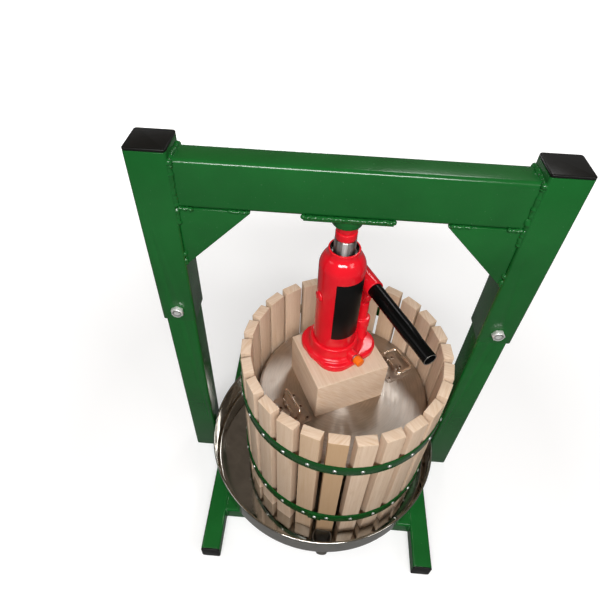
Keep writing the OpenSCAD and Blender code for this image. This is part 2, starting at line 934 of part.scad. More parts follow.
module jack_base() {
    collar_r = collar_d / 2;
    color("red")
        difference() {
            union() {
                at_jack() {
                    translate([0, base_shift, 0]) linear_extrude(base_t) rounded_rect(base_l, base_w, base_r);
                    rotate_extrude()
                        polygon(concat(
                            [[0, 0], [collar_r + 5, 0], [collar_r + 5, base_t + 1]],
                            arc(collar_r + 5, base_t + 6, 5, -90, -180),
                            [[collar_r, collar_top - 3], [collar_r - 2, collar_top], [0, collar_top]]
                        ));
                    translate([0, valve_side, valve_z])
                        rotate([0, 90, 0]) cylinder(d = 2 * valve_d, h = base_l / 2 - 2);
                    translate([0, valve_side - valve_d, 0]) cube([base_l / 2 - 2, 2 * valve_d, valve_z]);
                }
                at_pump() {
                    cylinder(d = pump_boss_d, h = pump_boss_top - 3);
                    translate([0, 0, pump_boss_top - 3])
                        cylinder(d1 = pump_boss_d, d2 = pump_boss_d - 6, h = 3);
                }
            }
            at_jack() {
                translate([0, 0, tank_z]) cylinder(r = tank_r + seat_gap, h = collar_top);
                translate([0, 0, cylinder_z]) cylinder(r = cylinder_r + seat_gap, h = collar_top);
                translate([0, 0, ball_floor]) cylinder(d = ball_hole_d, h = collar_top);
            }
            at_valve() translate([0, 0, valve_tip]) cylinder(d = valve_d + 2 * run_gap, h = base_l);
            at_pump() {
                translate([0, 0, pump_floor]) cylinder(d = pump_d + 2 * seat_gap, h = pump_boss_top);
                translate([0, 0, ball_floor]) cylinder(d = ball_hole_d, h = pump_boss_top);
            }
        }
}

module jack_reservoir() {
    bend_r = 14;
    blend_r = 7;
    color("red")
        at_jack()
            difference() {
                rotate_extrude()
                    polygon(concat(
                        [[tank_r - tank_wall, tank_z], [tank_r, tank_z]],
                        arc(tank_r - bend_r, shoulder_z, bend_r, 0, 50),
                        [[neck_r + 1, neck_z - neck_h - 1], [neck_r, neck_z - neck_h]],
                        [[neck_r, neck_z], [neck_bore_r, neck_z], [neck_bore_r, neck_z - neck_bore_h]],
                        arc(tank_r - bend_r, shoulder_z - 2, bend_r - tank_wall, 50, 0),
                        [[tank_r - tank_wall, shoulder_z - blend_r]]
                    ));
                rotate([0, 0, plug_turn])
                    translate([0, 0, plug_z])
                        rotate([0, 90, 0]) cylinder(d = plug_shank_d + 2 * rest_gap, h = tank_d);
            }
}

module jack_cylinder() {
    color("dimgray")
        at_jack()
            translate([0, 0, cylinder_z])
                ring(cylinder_bore / 2, cylinder_r, cylinder_top - cylinder_z);
}

// The screwed ring in the neck that guides the ram
module ram_gland() {
    color("dimgray")
        at_jack()
            difference() {
                union() {
                    translate([0, 0, cylinder_top - gland_spigot])
                        cylinder(r = cylinder_bore / 2 - seat_gap, h = gland_spigot);
                    translate([0, 0, cylinder_top])
                        cylinder(r = neck_bore_r - seat_gap, h = gland_top - cylinder_top);
                }
                translate([0, 0, cylinder_top - 2 * gland_spigot])
                    cylinder(d = ram_d + 2 * run_gap, h = neck_z);
            }
}

module ram() {
    color("lightsteelblue")
        at_jack()
            difference() {
                union() {
                    translate([0, 0, ram_bottom]) cylinder(d = ram_d, h = ram_top - ram_bottom);
                    translate([0, 0, ram_bottom])
                        ring(ram_d / 2 - 1, cylinder_bore / 2 - run_gap, piston_h);
                }
                translate([0, 0, ram_bottom + piston_h / 2 - seal_h / 2])
                    ring(ram_d / 2 - seal_h / 4, cylinder_bore, seal_h);
                translate([0, 0, saddle_z - screw_core_len - 2])
                    cylinder(d = screw_core_d + 2 * run_gap, h = screw_core_len + saddle_h);
            }
}

module ram_seal() {
    color("#222222")
        at_jack()
            translate([0, 0, ram_bottom + piston_h / 2 - seal_h / 2 + seat_gap / 2])
                ring(ram_d / 2 - seal_h / 4 + seat_gap / 2, cylinder_bore / 2 - run_gap, seal_h - seat_gap);
}

// The saddle with its screw, wound right down into the ram
module extension_screw() {
    saddle_r = saddle_d / 2;
    color("crimson")
        at_jack() {
            translate([0, 0, saddle_z - screw_core_len]) cylinder(d = screw_core_d, h = screw_core_len + 1);
            rotate_extrude()
                polygon(concat(
                    [[0, saddle_z], [saddle_r - 1.5, saddle_z], [saddle_r, saddle_z + 2]],
                    arc(saddle_r, saddle_z + saddle_groove, 2, 270, 90),
                    [[saddle_r, saddle_top - 3], [saddle_r - 2, saddle_top], [0, saddle_top]]
                ));
        }
}

module valve_balls() {
    color("silver") {
        at_jack() translate([0, 0, ball_floor + ball_d / 2 + seat_gap]) sphere(d = ball_d);
        at_pump() translate([0, 0, ball_floor + ball_d / 2 + seat_gap]) sphere(d = ball_d);
    }
}

module pump_cylinder() {
    color("red")
        at_pump()
            difference() {
                union() {
                    translate([0, 0, pump_floor]) cylinder(d = pump_d, h = pump_top - pump_floor);
                    translate([0, 0, pump_boss_top])
                        cylinder(d = pump_collar_d, h = pump_collar_top - pump_boss_top);
                }
                translate([0, 0, pump_floor - 1])
                    cylinder(d = plunger_d + 2 * run_gap, h = pump_top);
            }
}

// A rod with a flat eye, slotted so that the lever's pin can swing through its arc
module pump_plunger() {
    color("silver")
        at_pump()
            difference() {
                union() {
                    translate([0, 0, plunger_bottom])
                        cylinder(d = plunger_d, h = pin_z - plunger_bottom - tongue_r / 2);
                    translate([0, tongue_t / 2, pin_z])
                        rod_forward(2 * tongue_r, tongue_t);
                }
                for (x = [-pin_shift, pin_shift])
                    translate([x, tongue_t, pin_z]) rod_forward(pin_d + 2 * rest_gap, 2 * tongue_t);
                translate([-pin_shift, -tongue_t, pin_z - pin_d / 2 - rest_gap])
                    cube([2 * pin_shift, 2 * tongue_t, pin_d + 2 * rest_gap]);
                for (y = [-plunger_d - tongue_t / 2, tongue_t / 2])
                    translate([-tongue_r, y, pin_z - tongue_r - rest_gap])
                        cube([2 * tongue_r, plunger_d, 2 * tongue_r]);
            }
}

// An upright lug behind the pump that carries the lever's fulcrum
module fulcrum_bracket() {
    color("red")
        at_pump()
            translate([fulcrum_x, 0, 0])
                difference() {
                    union() {
                        translate([-bracket_w / 2, -tongue_t / 2, base_t])
                            cube([bracket_w, tongue_t, fulcrum_z - base_t]);
                        translate([0, tongue_t / 2, fulcrum_z]) rod_forward(bracket_w, tongue_t);
                    }
                    translate([0, tongue_t, fulcrum_z]) rod_forward(pin_d, 2 * tongue_t);
                }
}

module pin_with_heads() {
    head_h = 2.5;
    rotate([90, 0, 0])
        translate([0, 0, -yoke_out - rest_gap])
            cylinder(d = pin_d, h = 2 * (yoke_out + rest_gap));
    for (side = [0, 1])
        mirror([0, side, 0])
            translate([0, -yoke_out - rest_gap, 0]) rod_forward(1.4 * pin_d, head_h);
}

module fulcrum_pin() {
    color("silver") at_lever() pin_with_heads();
}

module plunger_pin() {
    color("silver") at_lever() at_plunger_pin() pin_with_heads();
}

module at_plunger_pin() {
    translate([pin_gap * cos(yoke_line), 0, pin_gap * sin(yoke_line)]) children();
}

// A blind tube for the rod, on two plates that straddle the bracket and the plunger
module lever_socket() {
    plate_r_end = 8.5;
    color("red")
        difference() {
            union() {
                at_rod()
                    translate([0, 0, -socket_behind])
                        cylinder(d = socket_d, h = socket_behind + socket_ahead);
                at_lever()
                    for (y = [-yoke_in, yoke_out])
                        translate([0, y, 0])
                            rotate([90, 0, 0])
                                linear_extrude(yoke_t) {
                                    circle(plate_r_end);
                                    translate([pin_gap * cos(yoke_line), pin_gap * sin(yoke_line)])
                                        circle(plate_r_end);
                                    translate([-plate_r_end, 0])
                                        square([pin_gap + 2 * plate_r_end, socket_rise - socket_bore / 2]);
                                    polygon([
                                        [0, -plate_r_end], [pin_gap, pin_gap * sin(yoke_line) - plate_r_end],
                                        [pin_gap + plate_r_end, 0], [-plate_r_end, 0]
                                    ]);
                                }
            }
            at_rod()
                translate([0, 0, socket_ahead - rod_insert - rest_gap])
                    cylinder(d = socket_bore, h = rod_len);
            at_lever() {
                translate([0, pump_d, 0]) rod_forward(pin_d + 2 * run_gap, 2 * pump_d);
                at_plunger_pin() translate([0, pump_d, 0]) rod_forward(pin_d, 2 * pump_d);
            }
        }
}

module handle_rod() {
    r = rod_d / 2;
    r_end = rod_end_d / 2;
    end = rod_len - rod_end_len;
    cone = end - rod_cone_len;
    color("#141414")
        at_rod()
            translate([0, 0, socket_ahead - rod_insert])
                rotate_extrude()
                    polygon([
                        [r - rod_wall, 0], [r, 0], [r, cone], [r_end, end], [r_end, rod_len],
                        [r_end - rod_wall, rod_len], [r_end - rod_wall, end], [r - rod_wall, cone]
                    ]);
}

module release_valve() {
    color("silver")
        at_valve() {
            translate([0, 0, valve_tip + 4])
                cylinder(d = valve_d, h = knob_at + knob_len / 2 - valve_tip - 4);
            translate([0, 0, valve_tip + seat_gap]) cylinder(d1 = 1, d2 = valve_d - 1, h = 4 - seat_gap);
        }
}

module release_knob() {
    color("orange")
        at_valve()
            translate([0, 0, knob_at])
                difference() {
                    union() {
                        cylinder(d = knob_d, h = knob_len - 2);
                        translate([0, 0, knob_len - 2]) cylinder(d1 = knob_d, d2 = knob_d - 4, h = 2);
                    }
                    translate([0, 0, -1]) cylinder(d = valve_d, h = knob_len / 2 + 1);
                }
}

module filler_plug() {
    color("red")
        at_plug() {
            translate([0, 0, tank_r - tank_wall]) cylinder(d = plug_shank_d, h = tank_wall + 1);
            translate([0, 0, tank_r + rest_gap])
                difference() {
                    cylinder(d1 = plug_d, d2 = 0.75 * plug_d, h = plug_head_h);
                    translate([0, 0, plug_head_h / 2]) cylinder(d = 0.2 * plug_d, h = plug_head_h);
                }
        }
}

top_beam();
left_sleeve();
right_sleeve();
sleeve_caps();
front_gussets();
rear_gussets();
pad_plate();
thrust_boss();
left_lower_post();
right_lower_post();
frame_bolts();
frame_washers();
frame_nuts();
base_beam();
left_front_foot();
right_front_foot();
left_rear_foot();
right_rear_foot();
front_cross_tube();
rear_cross_tube();
foot_caps();
tray_pan();
outlet_spout();
staves();
lower_hoop();
upper_hoop();
hoop_screws();
press_plate();
left_handle_base();
right_handle_base();
handle_rivets();
left_bail();
right_bail();
press_block();
jack_base();
jack_reservoir();
jack_cylinder();
ram_gland();
ram();
ram_seal();
extension_screw();
valve_balls();
pump_cylinder();
pump_plunger();
fulcrum_bracket();
fulcrum_pin();
lever_socket();
plunger_pin();
handle_rod();
release_valve();
release_knob();
filler_plug();
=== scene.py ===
"""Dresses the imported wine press: paint, steel and wood, and the small forms that its solids leave plain."""

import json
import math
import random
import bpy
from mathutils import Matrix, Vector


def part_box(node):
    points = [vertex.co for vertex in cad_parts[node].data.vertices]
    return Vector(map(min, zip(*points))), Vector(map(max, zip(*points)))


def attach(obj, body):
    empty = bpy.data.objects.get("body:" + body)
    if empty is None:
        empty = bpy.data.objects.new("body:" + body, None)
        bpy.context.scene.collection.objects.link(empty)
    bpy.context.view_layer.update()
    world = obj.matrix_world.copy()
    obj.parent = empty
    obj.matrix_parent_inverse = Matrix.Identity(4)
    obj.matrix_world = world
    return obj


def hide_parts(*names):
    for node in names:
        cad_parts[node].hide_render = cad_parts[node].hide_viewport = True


bl_info = {
    "name": "Wine Press Dresser",
    "version": (1, 0, 0),
    "blender": (4, 5, 0),
    "location": "View3D > Sidebar > Wine Press",
    "description": "Builds the visible pieces of a hydraulic wine press around its packed solids",
    "category": "Object",
}

import bmesh
import bpy
from mathutils import Matrix, Vector

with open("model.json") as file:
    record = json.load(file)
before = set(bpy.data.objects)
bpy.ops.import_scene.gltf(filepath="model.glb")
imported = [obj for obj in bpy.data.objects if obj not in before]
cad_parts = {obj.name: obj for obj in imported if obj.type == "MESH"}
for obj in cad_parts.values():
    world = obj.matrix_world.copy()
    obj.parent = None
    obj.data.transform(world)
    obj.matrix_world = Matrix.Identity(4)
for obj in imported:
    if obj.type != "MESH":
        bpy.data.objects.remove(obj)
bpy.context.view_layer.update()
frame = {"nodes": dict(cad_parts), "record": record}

BODY_OF = {n: b for b, nodes in frame["record"]["behaviour"]["bodies"].items() for n in nodes}
FULL_TURN = 2 * math.pi
WELD_DISTANCE = 1e-6
SHARP_DEGREES = 35
SMOOTH_DEGREES = 38
FLAT_DEGREES = 0.4
FINISHES = {}

# Places and sizes on the jack, from its own middle
FULCRUM_AT = (-0.024246, 0, 0.1045)
ROD_RISE = 0.024
VALVE_AT = (0, 0.004, 0.017)
PLUG_TURN, PLUG_HEIGHT = math.radians(260), 0.129
PANEL_TURN, PANEL_SPAN = math.radians(-101), math.radians(84)

FLANGE = (0.1, 0.106, 0.011)
KNOB_R, KNOB_LONG, KNOB_OUT = 0.0083, 0.0125, 0.0503

# Seeds of the uneven welds and staves, the brown stave's tone and the darkest of the others
WELD_SEED, STAVE_SEED = 5, 7
BROWN_TONE, DARKEST_TONE = 0.97, 0.86


# Sizes and colours that a user may change


def length(label, words, default):
    return bpy.props.FloatProperty(name=label, description=words, default=default, unit="LENGTH", precision=4)


def angle(label, words, degrees):
    return bpy.props.FloatProperty(name=label, description=words, default=math.radians(degrees),
                                   subtype="ANGLE")


def count(label, words, default):
    return bpy.props.IntProperty(name=label, description=words, default=default, min=3)


def colour(label, words, rgb):
    return bpy.props.FloatVectorProperty(name=label, description=words, default=rgb, subtype="COLOR", size=3,
                                         min=0, max=1)


def place(label, words, xyz):
    return bpy.props.FloatVectorProperty(name=label, description=words, default=xyz, subtype="XYZ", size=3,
                                         precision=4)


class PressSizes(bpy.types.PropertyGroup):
    """Sizes and places of the pieces, in metres"""

    edge: length("Edge", "Rounding of cut steel edges", 0.0006)
    post_x: length("Post distance", "Distance of a post from the middle", 0.235)
    sleeve_w: length("Sleeve width", "Width of the square sleeve", 0.05)
    bolt_z: length("Bolt height", "Height of the frame bolts", 0.41)
    bolt_flats: length("Bolt flats", "Width of a bolt head across its flats", 0.017)
    basket_at: place("Basket", "Middle of the basket's foot", (0.022, -0.023, 0.0333))
    basket_r: length("Basket radius", "Radius of the round space in the basket", 0.149)
    basket_turn: angle("Basket turn", "Direction of the first stave", 3.6)
    staves: count("Staves", "Number of staves", 26)
    brown_stave: bpy.props.IntProperty(name="Brown stave", description="Which stave is browner than the rest",
                                       default=19, min=0)
    stave_len: length("Stave length", "Length of a stave", 0.316)
    stave_t: length("Stave thickness", "Radial thickness of a stave", 0.016)
    stave_in: length("Inner width", "Width of a stave inside", 0.031)
    stave_out: length("Outer width", "Width of a stave outside", 0.0285)
    stave_edge: length("Stave edge", "Rounding of a stave's edges", 0.0008)
    hoop_r: length("Hoop radius", "Inside radius of a hoop", 0.16571)
    hoop_w: length("Hoop width", "Height of a hoop's band", 0.022)
    hoop_t: length("Hoop thickness", "Thickness of a hoop's band", 0.002)
    hoop_low: length("Lower hoop", "Height of the lower hoop over the basket's foot", 0.055)
    hoop_high: length("Upper hoop", "Height of the upper hoop over the basket's foot", 0.232)
    lap_turn: angle("Lap", "Direction of the hoops' lap joint", 259.7)
    lap_span: angle("Lap span", "Width of the lap joint", 7.6)
    screw_head: length("Screw head", "Diameter of a hoop screw's head", 0.0063)
    tray_at: place("Tray", "Middle of the tray's underside", (0.0, -0.018, 0.032))
    tray_turn: angle("Tray turn", "Turn of the tray about its middle", 2)
    tray_r: length("Tray radius", "Outside radius of the tray's wall at the rim", 0.209)
    tray_h: length("Tray height", "Height of the tray", 0.058)
    tray_t: length("Tray sheet", "Sheet thickness of the tray", 0.001)
    rim_r: length("Rim", "Radius of the tray's rolled rim", 0.002)
    outlet_reach: length("Outlet reach", "Distance of the outlet from the tray's middle", 0.181)
    outlet_side: length("Outlet side", "Distance of the outlet to the right of the tray's middle line", 0.003)
    outlet_r: length("Outlet radius", "Radius of the outlet in the tray's floor", 0.0148)
    spout_slope: angle("Spout slope", "Slope of the spout", 42)
    plate_r: length("Plate radius", "Radius of the press plate", 0.1435)
    plate_edge: length("Plate edge", "Depth of the plate's turned-down edge", 0.018)
    handle_turn: angle("Handle turn", "Direction of the right handle from the plate's middle", 33)
    hinge_reach: length("Hinge reach", "Distance of a handle's hinge from the plate's middle", 0.102)
    block_size: place("Block", "Length, width and height of the wooden block", (0.122, 0.11, 0.082))
    block_turn: angle("Block turn", "Turn of the block", 25.5)
    jack_at: place("Jack", "Middle of the jack's underside", (0.001, 0.002, 0.322))
    jack_turn: angle("Jack turn", "Direction of the release valve", -50)
    lever_turn: angle("Lever turn", "Direction of the lever", -61)
    lever_slope: angle("Lever slope", "Slope of the lever at rest", 1)
    pump_side: length("Pump side", "Distance of the pump from the ram's axis", 0.048)
    tank_r: length("Tank radius", "Outside radius of the jack's reservoir", 0.033)


class PressColours(bpy.types.PropertyGroup):
    """Colours of the finishes"""

    green: colour("Green", "Powder coat of the frame", (0.006, 0.098, 0.016))
    red: colour("Red", "Enamel of the jack", (0.72, 0.008, 0.018))
    black: colour("Black", "Enamel of the handle rod", (0.0025, 0.0025, 0.0025))
    plastic: colour("Plastic", "Moulded caps", (0.005, 0.005, 0.0045))
    orange: colour("Orange", "Release knob", (0.84, 0.15, 0.005))
    panel: colour("Panel", "Plain panel on the reservoir", (0.005, 0.005, 0.005))
    # Rivet core: near-black brown discs set in the rivets' holes, painted shade
    rivet_hole_shade: colour("Rivet core", "Dark cores of the rivets", (0.06, 0.025, 0.015))
    beech_light: colour("Beech light", "Early wood", (0.74, 0.58, 0.445))
    beech_dark: colour("Beech dark", "Late wood", (0.6, 0.42, 0.28))
    beech_brown: colour("Beech brown", "Stained staves and blotches", (0.47, 0.295, 0.155))
    stainless: colour("Stainless", "Press plate", (0.6, 0.54, 0.48))
    tray_steel: colour("Tray steel", "Bright sheet of the tray", (0.46, 0.44, 0.4))
    zinc: colour("Zinc", "Bolts and screws", (0.72, 0.72, 0.7))
    strap: colour("Strap", "Flat bases of the handles", (0.56, 0.48, 0.415))
    # Bore: near-black steel for the inside of the jack's neck, and painted shade in the hoop screws' recesses
    bore: colour("Bore", "Oily steel inside the jack's neck", (0.035, 0.03, 0.028))
    nickel: colour("Nickel", "Handles of the plate", (0.78, 0.7, 0.62))
    ground: colour("Ground steel", "Ram and plunger", (0.6, 0.58, 0.56))
    floor: colour("Floor", "Plain floor", (0.62, 0.62, 0.62))
    dim: colour("Dim floor", "Floor as it lights the press", (0.05, 0.049, 0.047))
    sky: colour("Sky", "World as it lights the press and shows in metal", (0.138, 0.114, 0.094))
    mirrored: bpy.props.FloatProperty(name="Mirrored", default=0.16, min=0, max=1, subtype="FACTOR",
                                      description="Share of the floor's white that metal and paint mirror")


# Places, which repeat those of the solids


def move(x, y, z):
    return Matrix.Translation((x, y, z))


def turn(axis, radians):
    return Matrix.Rotation(radians, 4, axis)


def at_jack(s):
    return move(*s.jack_at) @ turn("Z", s.jack_turn)


def at_pump(s):
    return move(*s.jack_at) @ turn("Z", s.lever_turn) @ move(0, s.pump_side, 0)


def at_lever(s):
    return at_pump(s) @ move(*FULCRUM_AT) @ turn("Y", s.lever_slope)


def at_rod(s):
    return at_lever(s) @ move(0, 0, ROD_RISE) @ turn("Y", math.pi / 2)


def at_valve(s):
    return at_jack(s) @ move(*VALVE_AT) @ turn("Y", math.pi / 2)


def at_plug(s):
    return at_jack(s) @ turn("Z", PLUG_TURN) @ move(0, 0, PLUG_HEIGHT) @ turn("Y", math.pi / 2)


def at_tray(s):
    return move(*s.tray_at) @ turn("Z", s.tray_turn)


# Mesh work


def outline(bm, points, rounds=(), closed=False):
    """Draws a wire in the XZ plane from radius and height, and rounds corners: (index, radius, segments)."""
    verts = [bm.verts.new((x, 0, z)) for x, z in points]
    ends = verts[1:] + verts[:1] if closed else verts[1:]
    for a, b in zip(verts, ends):
        bm.edges.new((a, b))
    for index, radius, segments in rounds:
        bmesh.ops.bevel(bm, geom=[verts[index]], offset=radius, offset_type="OFFSET", segments=segments,
                        profile=0.5, affect="VERTICES", material=-1)


def close_up(bm):
    bmesh.ops.remove_doubles(bm, verts=bm.verts[:], dist=WELD_DISTANCE)
    bmesh.ops.recalc_face_normals(bm, faces=bm.faces[:])


def swing(bm, steps, sweep=FULL_TURN):
    """Spins a wire about Z, and closes the seam where it goes all round."""
    bmesh.ops.spin(bm, geom=bm.verts[:] + bm.edges[:], cent=(0, 0, 0), axis=(0, 0, 1), angle=sweep,
                   steps=steps, use_merge=sweep == FULL_TURN, use_duplicate=False)
    bmesh.ops.remove_doubles(bm, verts=bm.verts[:], dist=WELD_DISTANCE)


def spun(points, rounds=(), closed=False, steps=96, sweep=FULL_TURN):
    """A turned shape about Z."""
    bm = bmesh.new()
    outline(bm, points, rounds, closed)
    swing(bm, steps, sweep)
    if sweep != FULL_TURN:
        bmesh.ops.holes_fill(bm, edges=[e for e in bm.edges if e.is_boundary], sides=0)
    close_up(bm)
    return bm


def round_wire(x, z, radius, count):
    """Points of a circle in the XZ plane."""
    around = [i * FULL_TURN / count for i in range(count)]
    return [(x + radius * math.cos(a), z + radius * math.sin(a)) for a in around]


def bevel_edges(bm, edges, offset, segments=2):
    bmesh.ops.bevel(bm, geom=edges, offset=offset, offset_type="OFFSET", segments=segments, profile=0.5,
                    affect="EDGES", clamp_overlap=True, material=-1)


def sharp_edges(bm, degrees=SHARP_DEGREES):
    limit = math.radians(degrees)
    return [e for e in bm.edges if len(e.link_faces) == 2 and e.calc_face_angle(0) > limit]


def uprights(bm, least):
    """The edges that rise by more than a given height."""
    return [e for e in bm.edges if abs(e.verts[0].co.z - e.verts[1].co.z) > least]


def box(size, upright=0, rim=0, segments=3):
    """A block on the plane z = 0: rounded uprights first, then rounded rims."""
    bm = bmesh.new()
    bmesh.ops.create_cube(bm, size=1, matrix=move(0, 0, size[2] / 2) @ Matrix.Diagonal((*size, 1)))
    if upright:
        bevel_edges(bm, uprights(bm, size[2] / 2), upright, 6)
    if rim:
        bevel_edges(bm, sharp_edges(bm, 40), rim, segments)
    close_up(bm)
    return bm


def pull(bm, faces, by):
    """Extrudes faces and moves their new end."""
    out = bmesh.ops.extrude_face_region(bm, geom=faces)
    bmesh.ops.translate(bm, vec=by, verts=[v for v in out["geom"] if isinstance(v, bmesh.types.BMVert)])
    close_up(bm)


def prism(points, thick, edge=0, segments=2):
    """A plate in the XZ plane, from y = 0 to y = -thick."""
    bm = bmesh.new()
    face = bm.faces.new([bm.verts.new((x, 0, z)) for x, z in points])
    pull(bm, [face], (0, -thick, 0))
    if edge:
        bevel_edges(bm, sharp_edges(bm), edge, segments)
    return bm


def hexagon(radius, height):
    """A six-sided bar on the plane z = 0."""
    bm = bmesh.new()
    bmesh.ops.create_circle(bm, cap_ends=True, segments=6, radius=radius)
    pull(bm, bm.faces[:], (0, 0, height))
    return bm


def mark(bm, test):
    """Gives the second finish to the faces whose middle passes a test."""
    for face in bm.faces:
        face.material_index = 1 if test(face.calc_center_median()) else 0


def plan_middle(lo, hi):
    return (lo.x + hi.x) / 2, (lo.y + hi.y) / 2


def joined(*parts):
    """One bmesh from pairs of a bmesh and its place."""
    whole = bmesh.new()
    for bm, where in parts:
        bm.transform(where)
        shell = bpy.data.meshes.new("shell")
        bm.to_mesh(shell)
        bm.free()
        whole.from_mesh(shell)
        bpy.data.meshes.remove(shell)
    return whole


def cad_copy(node, edge=0, segments=2):
    """A merged copy of a solid, its sharp edges rounded."""
    bm = bmesh.new()
    bm.from_mesh(frame["nodes"][node].data)
    bmesh.ops.remove_doubles(bm, verts=bm.verts[:], dist=2 * WELD_DISTANCE)
    bmesh.ops.dissolve_limit(bm, angle_limit=math.radians(FLAT_DEGREES), verts=bm.verts[:],
                             edges=bm.edges[:])
    if edge:
        bevel_edges(bm, sharp_edges(bm), edge, segments)
    return bm


def piece(bm, name, finish, body, nodes=(), smooth=SMOOTH_DEGREES):
    """Puts a bmesh into the scene as a piece that rides on a body and stands for some nodes."""
    mesh = bpy.data.meshes.new(name)
    bm.to_mesh(mesh)
    bm.free()
    mesh.polygons.foreach_set("use_smooth", [True] * len(mesh.polygons))
    mesh.set_sharp_from_angle(angle=math.radians(smooth))
    for key in finish if isinstance(finish, tuple) else (finish,):
        mesh.materials.append(FINISHES[key])
    obj = bpy.data.objects.new(name, mesh)
    bpy.context.scene.collection.objects.link(obj)
    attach(obj, body)
    if nodes:
        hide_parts(*nodes)
    return obj


def stand_in(bm, name, finish, *nodes, smooth=SMOOTH_DEGREES):
    """A piece that takes its body from the first node that it stands for."""
    return piece(bm, name, finish, BODY_OF[nodes[0]], nodes, smooth)


def dress(nodes, ending, finish, edge=0, smooth=SMOOTH_DEGREES):
    """Stands a rounded copy in for each of some nodes."""
    for node in nodes:
        stand_in(cad_copy(node, edge), node + ending, finish, node, smooth=smooth)


def coat_node(node, finish):
    """Gives a solid that stays in view its finish."""
    mesh = frame["nodes"][node].data
    mesh.materials.clear()
    mesh.materials.append(FINISHES[finish])


# Finishes


class Finish:
    """A material with one Principled shader, and short ways to add nodes to it."""

    def __init__(self, name, colour=None, **sockets):
        self.material = bpy.data.materials.new(name)
        self.material.use_nodes = True
        self.tree = self.material.node_tree
        self.surface = self.tree.nodes["Principled BSDF"]
        if colour:
            self.surface.inputs["Base Color"].default_value = (*colour, 1)
            self.material.diffuse_color = (*colour, 1)
        for socket, value in sockets.items():
            self.surface.inputs[socket.replace("_", " ")].default_value = value

    def feed(self, socket, value):
        if isinstance(value, bpy.types.NodeSocket):
            self.tree.links.new(value, socket)
        else:
            socket.default_value = value

    def add(self, kind, inputs=None, **settings):
        node = self.tree.nodes.new(kind)
        for key, value in settings.items():
            setattr(node, key, value)
        for key, value in (inputs or {}).items():
            self.feed(node.inputs[key], value)
        return node

    def put(self, socket, value):
        self.tree.links.new(value, self.surface.inputs[socket])

    def where(self, feature=1.0, centre=(0, 0, 0), turned=(0, 0, 0)):
        """Object coordinates counted in features of that size, in metres."""
        size = feature if isinstance(feature, tuple) else (feature,) * 3
        at = self.add("ShaderNodeTexCoord").outputs["Object"]
        inputs = {"Vector": at, "Location": centre, "Rotation": turned, "Scale": size}
        return self.add("ShaderNodeMapping", inputs, vector_type="TEXTURE").outputs["Vector"]

    def noise(self, vector, detail=2.0, rough=0.5, warp=0.0, seed=None):
        inputs = {"Vector": vector, "Scale": 1.0, "Detail": detail, "Roughness": rough, "Distortion": warp}
        if seed is not None:
            inputs["W"] = seed
        space = "3D" if seed is None else "4D"
        return self.add("ShaderNodeTexNoise", inputs, noise_dimensions=space).outputs["Fac"]

    def spread(self, value, low, high, to_low=0.0, to_high=1.0):
        inputs = {"Value": value, "From Min": low, "From Max": high, "To Min": to_low, "To Max": to_high}
        return self.add("ShaderNodeMapRange", inputs, clamp=True).outputs["Result"]

    def mix(self, factor, a, b):
        node = self.add("ShaderNodeMix", {0: factor}, data_type="RGBA", clamp_factor=True)
        for key, value in ((6, a), (7, b)):
            self.feed(node.inputs[key], value if isinstance(value, bpy.types.NodeSocket) else (*value, 1))
        return node.outputs[2]

    def math(self, operation, a, b=0.0):
        return self.add("ShaderNodeMath", {0: a, 1: b}, operation=operation).outputs[0]

    def blend(self, a, share_a, b, share_b):
        return self.math("ADD", self.math("MULTIPLY", a, share_a), self.math("MULTIPLY", b, share_b))

    def bump(self, height, strength, distance):
        inputs = {"Height": height, "Strength": strength, "Distance": distance}
        self.put("Normal", self.add("ShaderNodeBump", inputs).outputs["Normal"])


def shade(rgb, factor):
    return tuple(min(1.0, c * factor) for c in rgb)


def paint(name, rgb, roughness, peel, gloss):
    """Sprayed or baked paint: uneven tone, orange peel and a few dust specks."""
    f = Finish(name, rgb, Specular_IOR_Level=gloss)
    broad = f.noise(f.where(0.11), 3.0, 0.6)
    tone = f.mix(f.spread(broad, 0.3, 0.7), shade(rgb, 0.86), shade(rgb, 1.16))
    dust = f.spread(f.noise(f.where(0.0021), 1.0), 0.74, 0.82, 0.0, 0.5)
    f.put("Base Color", f.mix(dust, tone, shade(tuple(c + 0.05 for c in rgb), 1.5)))
    skin = f.noise(f.where(peel), 2.0, 0.45)
    f.put("Roughness", f.spread(broad, 0.25, 0.75, roughness * 0.85, roughness * 1.2))
    f.bump(f.math("ADD", skin, f.math("MULTIPLY", dust, 0.6)), 0.16, 0.0006)
    return f.material


def moulded(name, rgb, roughness, scuffs=0.25, gloss=0.3, grain=0.0007):
    """Plastic with a fine mould texture and slight scuffs."""
    f = Finish(name, rgb, Specular_IOR_Level=gloss)
    scuff = f.noise(f.where((0.03, 0.012, 0.02)), 4.0, 0.6)
    f.put("Base Color", f.mix(f.spread(scuff, 0.4, 0.8), rgb, shade(rgb, 1 + scuffs)))
    f.put("Roughness", f.spread(scuff, 0.3, 0.7, roughness * 0.9, roughness * (1 + scuffs)))
    f.bump(f.noise(f.where(grain), 1.0), 0.06, 0.0002)
    return f.material


def plated(name, rgb, roughness, cloud=0.02, dent=0.03, metal=1.0, streak=0.0016, brushed=0.0):
    """Zinc, nickel or ground steel: cloudy reflections and fine scratches."""
    f = Finish(name, rgb, Metallic=metal, Anisotropic=brushed, Anisotropic_Rotation=0.25)
    mist = f.noise(f.where(cloud), 3.0, 0.55)
    lines = f.noise(f.where(streak), 2.0)
    value = f.math("ADD", mist, f.math("MULTIPLY", lines, 0.6))
    f.put("Base Color", f.mix(f.spread(value, 0.5, 1.1), shade(rgb, 0.72), shade(rgb, 1.14)))
    f.put("Roughness", f.spread(mist, 0.25, 0.75, roughness * 0.8, roughness * 1.25))
    f.bump(lines, dent, 0.0002)
    return f.material


